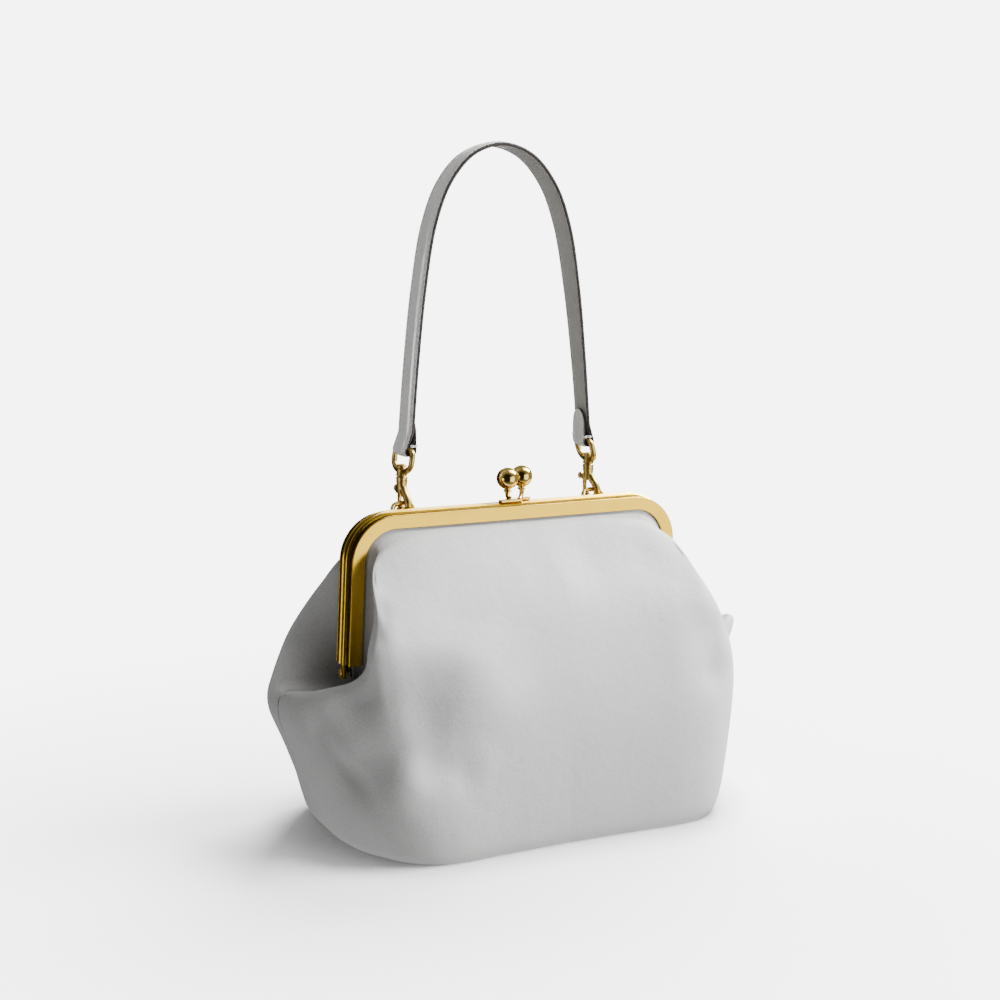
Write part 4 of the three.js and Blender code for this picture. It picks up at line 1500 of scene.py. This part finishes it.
    def lay(self, paths: Sequence[tuple[np.ndarray, np.ndarray]],
            thread: bpy.types.Material) -> bpy.types.Object:
        """Sew along paths.

        Args:
            paths: Points in millimetres and the direction the leather faces at each, path by path.
            thread: Material of the thread.

        Returns:
            The stitches as one mesh object.
        """
        points = np.vstack([p for p, _ in paths]) * MM
        normals = np.vstack([n for _, n in paths])
        edges, start = [], 0
        for path, _ in paths:
            edges += [(start + k, start + k + 1) for k in range(len(path) - 1)]
            start += len(path)
        guide = bpy.data.meshes.new(f"{self.name}_guide")
        guide.from_pydata(points.tolist(), edges, [])
        store = guide.attributes.new("facing", "FLOAT_VECTOR", "POINT")
        store.data.foreach_set("vector", normals.astype(np.float32).ravel())
        piece = bpy.data.objects.new(self.name, guide)
        bpy.context.scene.collection.objects.link(piece)
        tree = self.tree()
        modifier = piece.modifiers.new("sewing", "NODES")
        modifier.node_group = tree
        given = {
            "Pitch": self.pitch * MM, "Stitch Length": self.length * MM,
            "Thread Radius": self.thread * MM, "Seed": self.seed, "Thread": thread,
        }
        for socket in tree.interface.items_tree:
            if socket.in_out == "INPUT" and socket.name in given:
                modifier[socket.identifier] = given[socket.name]
        bpy.context.view_layer.update()
        mesh = bpy.data.meshes.new_from_object(piece.evaluated_get(bpy.context.evaluated_depsgraph_get()))
        piece.modifiers.clear()
        piece.data = mesh
        bpy.data.meshes.remove(guide)
        bpy.data.node_groups.remove(tree)
        return piece


@dataclass
class StrapRow:
    """One cross section of the strap: where it is and how it lies."""

    centre: Row
    across: Row
    along: Row
    thick: float
    width: float


@dataclass
class Strap:
    """Top handle: a padded strap folded round both rings, with painted edges and sewn rims."""

    hooks: tuple[SnapHook, SnapHook]
    x: float = -1.2
    y: float = 17.0
    width: float = 18.5
    thick: float = 2.8
    fold_thick: float = 1.7
    fold_width: float = 17.5
    slack: float = 0.4
    tab: float = 18.0
    tip: float = 9.0
    twist_end: float = 345.0
    sewn_in: float = 2.1
    sewn_reach: float = 0.5
    sewn_depth: float = 0.22
    stitch_sink: float = 0.33
    dome: float = 0.8
    shoulder: tuple[float, float] = (0.36, 0.64)
    arch: tuple[Row, ...] = (
        (58.0, 219), (54.9, 255), (49.9, 298), (43.3, 333), (33.8, 356), (19.0, 372), (0, 377.8),
    )

    def half(self, hook: SnapHook) -> tuple[list[StrapRow], int]:
        """Rows from the tip of the tab round the ring and up to the crown.

        Args:
            hook: Hook on that side.

        Returns:
            The rows, and the number of the first row of the leg.
        """
        sign = hook.side.value
        rise = 2 * hook.ring[1] + hook.ring_wire + 0.6 - hook.ring_lean_z
        ring_x = hook.at[0] - sign * rise * math.sin(hook.lean)
        fold_z = hook.at[2] + hook.ring_lean_z + rise * math.cos(hook.lean) - self.slack
        bend = hook.ring_wire + 0.3 + self.slack + self.fold_thick / 2
        rows: list[StrapRow] = []

        def add(x: float, z: float, out: float, up: float, angle: float, thick: float, width: float) -> None:
            """Add a row.

            Args:
                x: Place along X.
                z: Height.
                out: Share of the outer face's direction that points away from the bag's middle.
                up: Share of it that points up.
                angle: Twist about Z.
                thick: Thickness.
                width: Width.
            """
            across = (sign * out * math.cos(angle), -sign * out * math.sin(angle), up)
            rows.append(StrapRow((x, self.y, z), across, (math.sin(angle), math.cos(angle), 0), thick, width))

        for part in np.linspace(0.02, math.pi / 2, 18):
            z = fold_z + self.tab - self.tip * (1 - math.cos(part))
            width = self.fold_width * max(0.06, math.sin(part) ** 0.8)
            add(ring_x - sign * bend, z, -1, 0, hook.turn, self.fold_thick * 0.8, width)
        for z in np.linspace(fold_z + self.tab - self.tip, fold_z, 6)[1:-1]:
            add(ring_x - sign * bend, z, -1, 0, hook.turn, self.fold_thick * 0.9, self.fold_width)
        for angle in np.linspace(0, math.pi, 25):
            add(ring_x - sign * bend * math.cos(angle), fold_z - bend * math.sin(angle), -math.cos(angle),
                -math.sin(angle), hook.turn, self.fold_thick, self.fold_width)
        leg = len(rows)
        whole = [*self.arch, *((-x, z) for x, z in self.arch[-2::-1])]
        face = centripetal(np.array([(x, 0, z) for x, z in whole], float), [40] * (len(whole) - 1))
        face = face[: 40 * (len(self.arch) - 1) + 1]
        length = np.concatenate([[0], np.cumsum(np.linalg.norm(np.diff(face, axis=0), axis=1))])
        at = np.linspace(0, length[-1], 110)
        line = np.column_stack([np.interp(at, length, face[:, k]) for k in range(3)])
        tangent = unit(np.gradient(line, axis=0))
        tangent[-1] = (-1, 0, 0)
        for p, t in zip(line, tangent):
            angle = hook.turn * float(1 - smoothstep(p[2], fold_z, self.twist_end))
            add(self.x + sign * (p[0] - t[2] * self.thick / 2), p[2] + t[0] * self.thick / 2, t[2], -t[0],
                angle, self.thick, self.width)
        return rows, leg

    def dip(self, v: np.ndarray, thick: float, width: float) -> np.ndarray:
        """How far the sewn rims lie below the raised middle.

        Args:
            v: Places across the width.
            thick: Thickness.
            width: Width.

        Returns:
            Depths below the outer face.
        """
        share = self.dome * thick / self.thick * min(1.0, width / self.fold_width)
        return share * smoothstep(np.abs(v) / (width / 2), *self.shoulder)

    def section(self, thick: float, width: float) -> tuple[np.ndarray, list[int]]:
        """Cross section: raised outer face with flat rims, flat lining and rounded painted edges.

        Args:
            thick: Thickness.
            width: Width.

        Returns:
            Points across the thickness and the width, and the material slot of each segment.
        """
        t, w = thick / 2, width / 2
        rim = min(0.55, 0.35 * width)
        v = np.linspace(w - rim, rim - w, 35)
        sewn = np.exp(-(((w - np.abs(v)) - self.sewn_in) / self.sewn_reach) ** 2) * self.sewn_depth
        sewn = sewn * min(1.0, width / self.fold_width)
        outer = np.column_stack([t - self.dip(v, thick, width) - sewn, v])
        inner = np.column_stack([-t + 0.1 * (v / w) ** 2 + 0.5 * sewn, v])[::-1]
        turn = np.linspace(0, math.pi, 7)[1:-1]
        top, bottom = outer[0, 0], inner[0, 0]
        edge = np.column_stack([(top + bottom) / 2 + np.cos(turn) * (top - bottom) / 2, np.sin(turn) * rim])
        low = np.column_stack([edge[:, 0], rim - w - edge[:, 1]])
        high = np.column_stack([edge[::-1, 0], w - rim + edge[:, 1]])
        points = np.vstack([outer, low, inner, high])
        slots = [0] * (len(outer) - 1) + [1] * (len(low) + 1) + [2] * (len(inner) - 1) + [1] * (len(high) + 1)
        return points, slots

    def rows(self) -> tuple[list[StrapRow], int, int]:
        """All the rows of the strap.

        Returns:
            The rows, and the first and last rows of the sewn length.
        """
        (left, start), (right, other) = (self.half(hook) for hook in self.hooks)
        rows = [*left, *right[-2::-1]]
        return rows, start, len(rows) - 1 - other

    def stitch_paths(self, rows: Sequence[StrapRow]) -> list[tuple[np.ndarray, np.ndarray]]:
        """Paths of the sewn rims on the outer face.

        Args:
            rows: Rows of the sewn length.

        Returns:
            Points and facing directions, path by path.
        """
        centre = np.array([r.centre for r in rows])
        across, along = np.array([r.across for r in rows]), np.array([r.along for r in rows])
        thick = np.array([[r.thick] for r in rows])
        paths = []
        for edge in (-1, 1):
            beside = centre + along * edge * (self.width / 2 - self.sewn_in)
            dip = self.dip(np.array(self.width / 2 - self.sewn_in), self.thick, self.width)
            sunk = dip + self.stitch_sink
            paths.append((beside + across * (thick / 2 - sunk), across))
        return paths

    def bar_paths(self, hook: SnapHook) -> list[tuple[np.ndarray, np.ndarray]]:
        """Short thread bars round the strap's edges, just above a fold.

        Args:
            hook: Hook on that side.

        Returns:
            Points and facing directions, path by path.
        """
        sign = hook.side.value
        rows, leg = self.half(hook)
        outer, inner = np.array(rows[leg].centre), np.array(rows[leg - 25].centre)
        paths = []
        for edge in (-1, 1):
            beside = np.array(rows[leg].along) * edge * (self.width / 2 + 0.15)
            for level in (-0.35, 0.35):
                a = np.array([outer[0] + sign * 0.1, outer[1], inner[2] + 2.4 + level]) + beside
                b = np.array([inner[0] + sign * 0.5, inner[1], inner[2] + 2.4 + level]) + beside
                path = a + (b - a) * np.linspace(0, 1, 8)[:, None]
                paths.append((path, np.broadcast_to(np.array([0.0, edge, 0.0]), path.shape)))
        return paths

    def build(self) -> list[bpy.types.Object]:
        """Build and dress the strap, its stitches and its thread bars.

        Returns:
            The pieces.
        """
        rows, start, end = self.rows()
        rings, slots = [], []
        for row in rows:
            points, slots = self.section(row.thick, row.width)
            centre, across, along = (np.array(v) for v in (row.centre, row.across, row.along))
            rings.append(centre + points[:, :1] * across + points[:, 1:] * along)
        materials = [STRAP_OUTER.material(), EDGE_PAINT.material(), STRAP_INNER.material()]
        strap = Solid.skin(np.array(rings), slots=slots).build("handle_strap", materials, 70)
        sewing = StitchRow("handle_stitches")
        stitches = sewing.lay(self.stitch_paths(rows[start:end + 1]), GREY_THREAD.material())
        bars = StitchRow("handle_bars", 1.6, 2.0, 0.3, 3)
        paths = [path for hook in self.hooks for path in self.bar_paths(hook)]
        return [
            settle(strap, "bag", Slot.STRAP, "strap"),
            settle(stitches, "bag", Slot.STRAP),
            settle(bars.lay(paths, PALE_THREAD.material()), "bag", Slot.STRAP),
        ]


def direction_of(azimuth: float, elevation: float) -> Vector:
    """Direction seen from the bag.

    Args:
        azimuth: Degrees round from the front toward +X.
        elevation: Degrees above the floor.

    Returns:
        The unit direction.
    """
    turn, rise = math.radians(azimuth), math.radians(elevation)
    return Vector((math.sin(turn) * math.cos(rise), -math.cos(turn) * math.cos(rise), math.sin(rise)))


class Lit(Enum):
    """What a studio light falls on."""

    BAG = "bag"
    FLOOR = "floor"
    SHINE = "shine"
    STRAP = "strap"
    STRAP_SHINE = "strap_shine"


@dataclass
class Lamp:
    """Soft square studio light, placed about the bag by azimuth from the front and elevation."""

    name: str
    lit: Lit
    azimuth: float
    elevation: float
    size: float
    power: float
    shines: bool = False
    distance: float = 1.5
    aim: Row = (0.0, 0.0, 0.15)

    def build(self, floor: bpy.types.Object, handle: Sequence[bpy.types.Object]) -> bpy.types.Object:
        """Hang the light.

        Args:
            floor: Floor that it lights alone or leaves out.
            handle: Pieces of the strap that it may light alone.

        Returns:
            The light object.
        """
        light = bpy.data.lights.new(self.name, "AREA")
        light.shape = "SQUARE"
        light.size = self.size
        light.energy = self.power
        lamp = bpy.data.objects.new(self.name, light)
        toward = direction_of(self.azimuth, self.elevation)
        lamp.location = Vector(self.aim) + toward * self.distance
        lamp.rotation_euler = toward.to_track_quat("Z", "Y").to_euler()
        only_shine = self.lit in (Lit.SHINE, Lit.STRAP_SHINE)
        lamp.visible_diffuse = not only_shine
        lamp.visible_glossy = only_shine or self.shines
        lamp.visible_camera = False
        receivers = bpy.data.collections.new(f"{self.name}_receivers")
        for piece in handle if self.lit in (Lit.STRAP, Lit.STRAP_SHINE) else (floor,):
            receivers.objects.link(piece)
        state = "EXCLUDE" if self.lit in (Lit.BAG, Lit.SHINE) else "INCLUDE"
        for receiver in receivers.collection_objects:
            receiver.light_linking.link_state = state
        lamp.light_linking.receiver_collection = receivers
        bpy.context.scene.collection.objects.link(lamp)
        return lamp


@dataclass
class Studio:
    """Pale seamless floor, soft lights and the camera of the photograph."""

    azimuth: float = math.radians(27.5)
    elevation: float = math.radians(8.31)
    distance: float = 0.9935
    target: Row = (-0.00797, 0.0, 0.18)
    lens: float = 64.0
    sensor: float = 36.0
    horizon: float = 0.15
    sky: float = 0.06
    bounce: float = 0.60
    sky_in_metal: float = 0.34
    dark_spots: tuple[Row, ...] = ((-27.5, 8, 0.42, 0.80), (207, 0, 0.70, 0.92))
    lamps: tuple[Lamp, ...] = (
        Lamp("key_light", Lit.BAG, 90, 42, 0.8, 78, True),
        Lamp("front_light", Lit.BAG, 42, 8, 0.9, 28),
        Lamp("back_light", Lit.BAG, 180, 42, 0.8, 6),
        Lamp("left_bounce", Lit.BAG, 280, -40, 0.9, 0.8),
        Lamp("top_light", Lit.BAG, 90, 86, 1.0, 5),
        Lamp("strap_fill", Lit.STRAP, 318, 8, 0.5, 3.2),
        Lamp("strap_sheen", Lit.STRAP_SHINE, 262, 5, 0.4, 60),
        Lamp("floor_front", Lit.FLOOR, 65, 44, 0.9, 27),
        Lamp("floor_back", Lit.FLOOR, 135, 42, 0.9, 30),
        Lamp("floor_top", Lit.FLOOR, 90, 80, 1.6, 9),
        Lamp("front_card", Lit.SHINE, 27, -5, 1.3, 12),
        Lamp("rim_card", Lit.SHINE, 152, 10, 0.8, 17),
        Lamp("top_card", Lit.SHINE, 75, 62, 0.8, 12),
        Lamp("left_card", Lit.SHINE, 285, -5, 0.5, 2),
    )

    def backdrop(self) -> bpy.types.Object:
        """Floor that sweeps up behind the bag.

        Returns:
            The backdrop.
        """
        sweep = np.linspace(0, math.pi / 2, 14)[1:]
        depth = np.concatenate([np.linspace(-3, 1.2, 12), 1.2 + 1.3 * np.sin(sweep), [2.5]])
        height = np.concatenate([np.zeros(12), 1.3 - 1.3 * np.cos(sweep), [4.5]])
        points, faces = [], []
        for y, z in zip(depth, height):
            points += [(-6, y, z), (6, y, z)]
        for k in range(len(depth) - 1):
            faces.append((2 * k, 2 * k + 1, 2 * k + 3, 2 * k + 2))
        mesh = bpy.data.meshes.new("studio_floor")
        mesh.from_pydata(points, [], faces)
        mesh.polygons.foreach_set("use_smooth", [True] * len(faces))
        mesh.materials.append(STUDIO_PAPER.material())
        floor = bpy.data.objects.new("studio_floor", mesh)
        floor.visible_diffuse = False
        floor.visible_glossy = False
        floor.visible_shadow = False
        bpy.context.scene.collection.objects.link(floor)
        return floor

    def reflected(self, nodes: bpy.types.Nodes, links: bpy.types.NodeLinks,
                  direction: bpy.types.NodeSocket) -> bpy.types.NodeSocket:
        """Brightness of the room that glossy rays see: even, with dark spots by the camera and behind.

        Args:
            nodes: Nodes of the sky.
            links: Links of the sky.
            direction: Direction that is looked at.

        Returns:
            The brightness.
        """
        product = None
        for azimuth, elevation, edge, core in self.dark_spots:
            toward, share = nodes.new("ShaderNodeVectorMath"), nodes.new("ShaderNodeMapRange")
            toward.operation = "DOT_PRODUCT"
            toward.inputs[1].default_value = direction_of(azimuth, elevation)
            links.new(direction, toward.inputs[0])
            links.new(toward.outputs["Value"], share.inputs["Value"])
            for label, value in (("From Min", edge), ("From Max", core), ("To Min", 1.0), ("To Max", 0.05)):
                share.inputs[label].default_value = value
            times = nodes.new("ShaderNodeMath")
            times.operation = "MULTIPLY"
            times.inputs[1].default_value = self.sky_in_metal
            links.new(share.outputs["Result"], times.inputs[0])
            if product is not None:
                links.new(product, times.inputs[1])
            product = times.outputs[0]
        return product

    def sky_world(self) -> bpy.types.World:
        """Light from all round: a soft bounce for leather, a room for metal and even paper for the camera.

        Returns:
            The world.
        """
        world = bpy.data.worlds.new("studio_sky")
        world.use_nodes = True
        nodes, links = world.node_tree.nodes, world.node_tree.links
        kinds = ("TexCoord", "SeparateXYZ", "MapRange")
        place, parts, glow = (nodes.new(f"ShaderNode{kind}") for kind in kinds)
        links.new(place.outputs["Generated"], parts.inputs["Vector"])
        links.new(parts.outputs["Z"], glow.inputs["Value"])
        grade = {
            "From Min": -self.horizon, "From Max": self.horizon, "To Min": self.bounce, "To Max": self.sky,
        }
        for label, value in grade.items():
            glow.inputs[label].default_value = value
        ray, level = nodes.new("ShaderNodeLightPath"), nodes.new("ShaderNodeMapRange")
        links.new(self.reflected(nodes, links, place.outputs["Generated"]), level.inputs["To Max"])
        links.new(glow.outputs["Result"], level.inputs["To Min"])
        links.new(ray.outputs["Is Glossy Ray"], level.inputs["Value"])
        seen = nodes.new("ShaderNodeMapRange")
        links.new(ray.outputs["Is Camera Ray"], seen.inputs["Value"])
        links.new(level.outputs["Result"], seen.inputs["To Min"])
        seen.inputs["To Max"].default_value = STUDIO_PAPER.ground
        links.new(seen.outputs["Result"], nodes["Background"].inputs["Strength"])
        nodes["Background"].inputs["Color"].default_value = (1, 1, 1, 1)
        return world

    def camera(self) -> bpy.types.Object:
        """Camera of the photograph.

        Returns:
            The camera, linked to the scene.
        """
        lens = bpy.data.cameras.new("photo_camera")
        lens.lens = self.lens
        lens.sensor_width = self.sensor
        camera = bpy.data.objects.new("photo_camera", lens)
        back = Vector((
            -math.sin(self.azimuth) * math.cos(self.elevation),
            -math.cos(self.azimuth) * math.cos(self.elevation),
            math.sin(self.elevation),
        ))
        camera.location = Vector(self.target) + back * self.distance
        camera.rotation_euler = (-back).to_track_quat("-Z", "Y").to_euler()
        bpy.context.scene.collection.objects.link(camera)
        return camera

    def build(self, handle: Sequence[bpy.types.Object]) -> None:
        """Set up floor, lights, sky and camera.

        Args:
            handle: Pieces of the strap, which have lights of their own.
        """
        floor = self.backdrop()
        for lamp in self.lamps:
            lamp.build(floor, handle)
        bpy.context.scene.world = self.sky_world()
        bpy.context.scene.camera = self.camera()


def main() -> None:
    """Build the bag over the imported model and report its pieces."""
    logging.basicConfig(level=logging.INFO, format="%(name)s: %(message)s")
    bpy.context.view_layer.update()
    line = FrameLine()
    hooks = (
        SnapHook(Side.LEFT, math.radians(-80), math.radians(8), 0.0, (-60.4, 17.0, 195.0)),
        SnapHook(Side.RIGHT, math.radians(-60), math.radians(15), math.radians(8), (58.8, 17.0, 195.0)),
    )
    pieces: list[bpy.types.Object] = []
    for part in (Pouch(line), HingedFrame(line), KissLock(), *hooks):
        pieces += part.build()
    handle = Strap(hooks).build()
    pieces += handle
    Studio().build(handle)
    LOG.info("%d pieces", len(pieces))


if __name__ == "__main__":
    main()
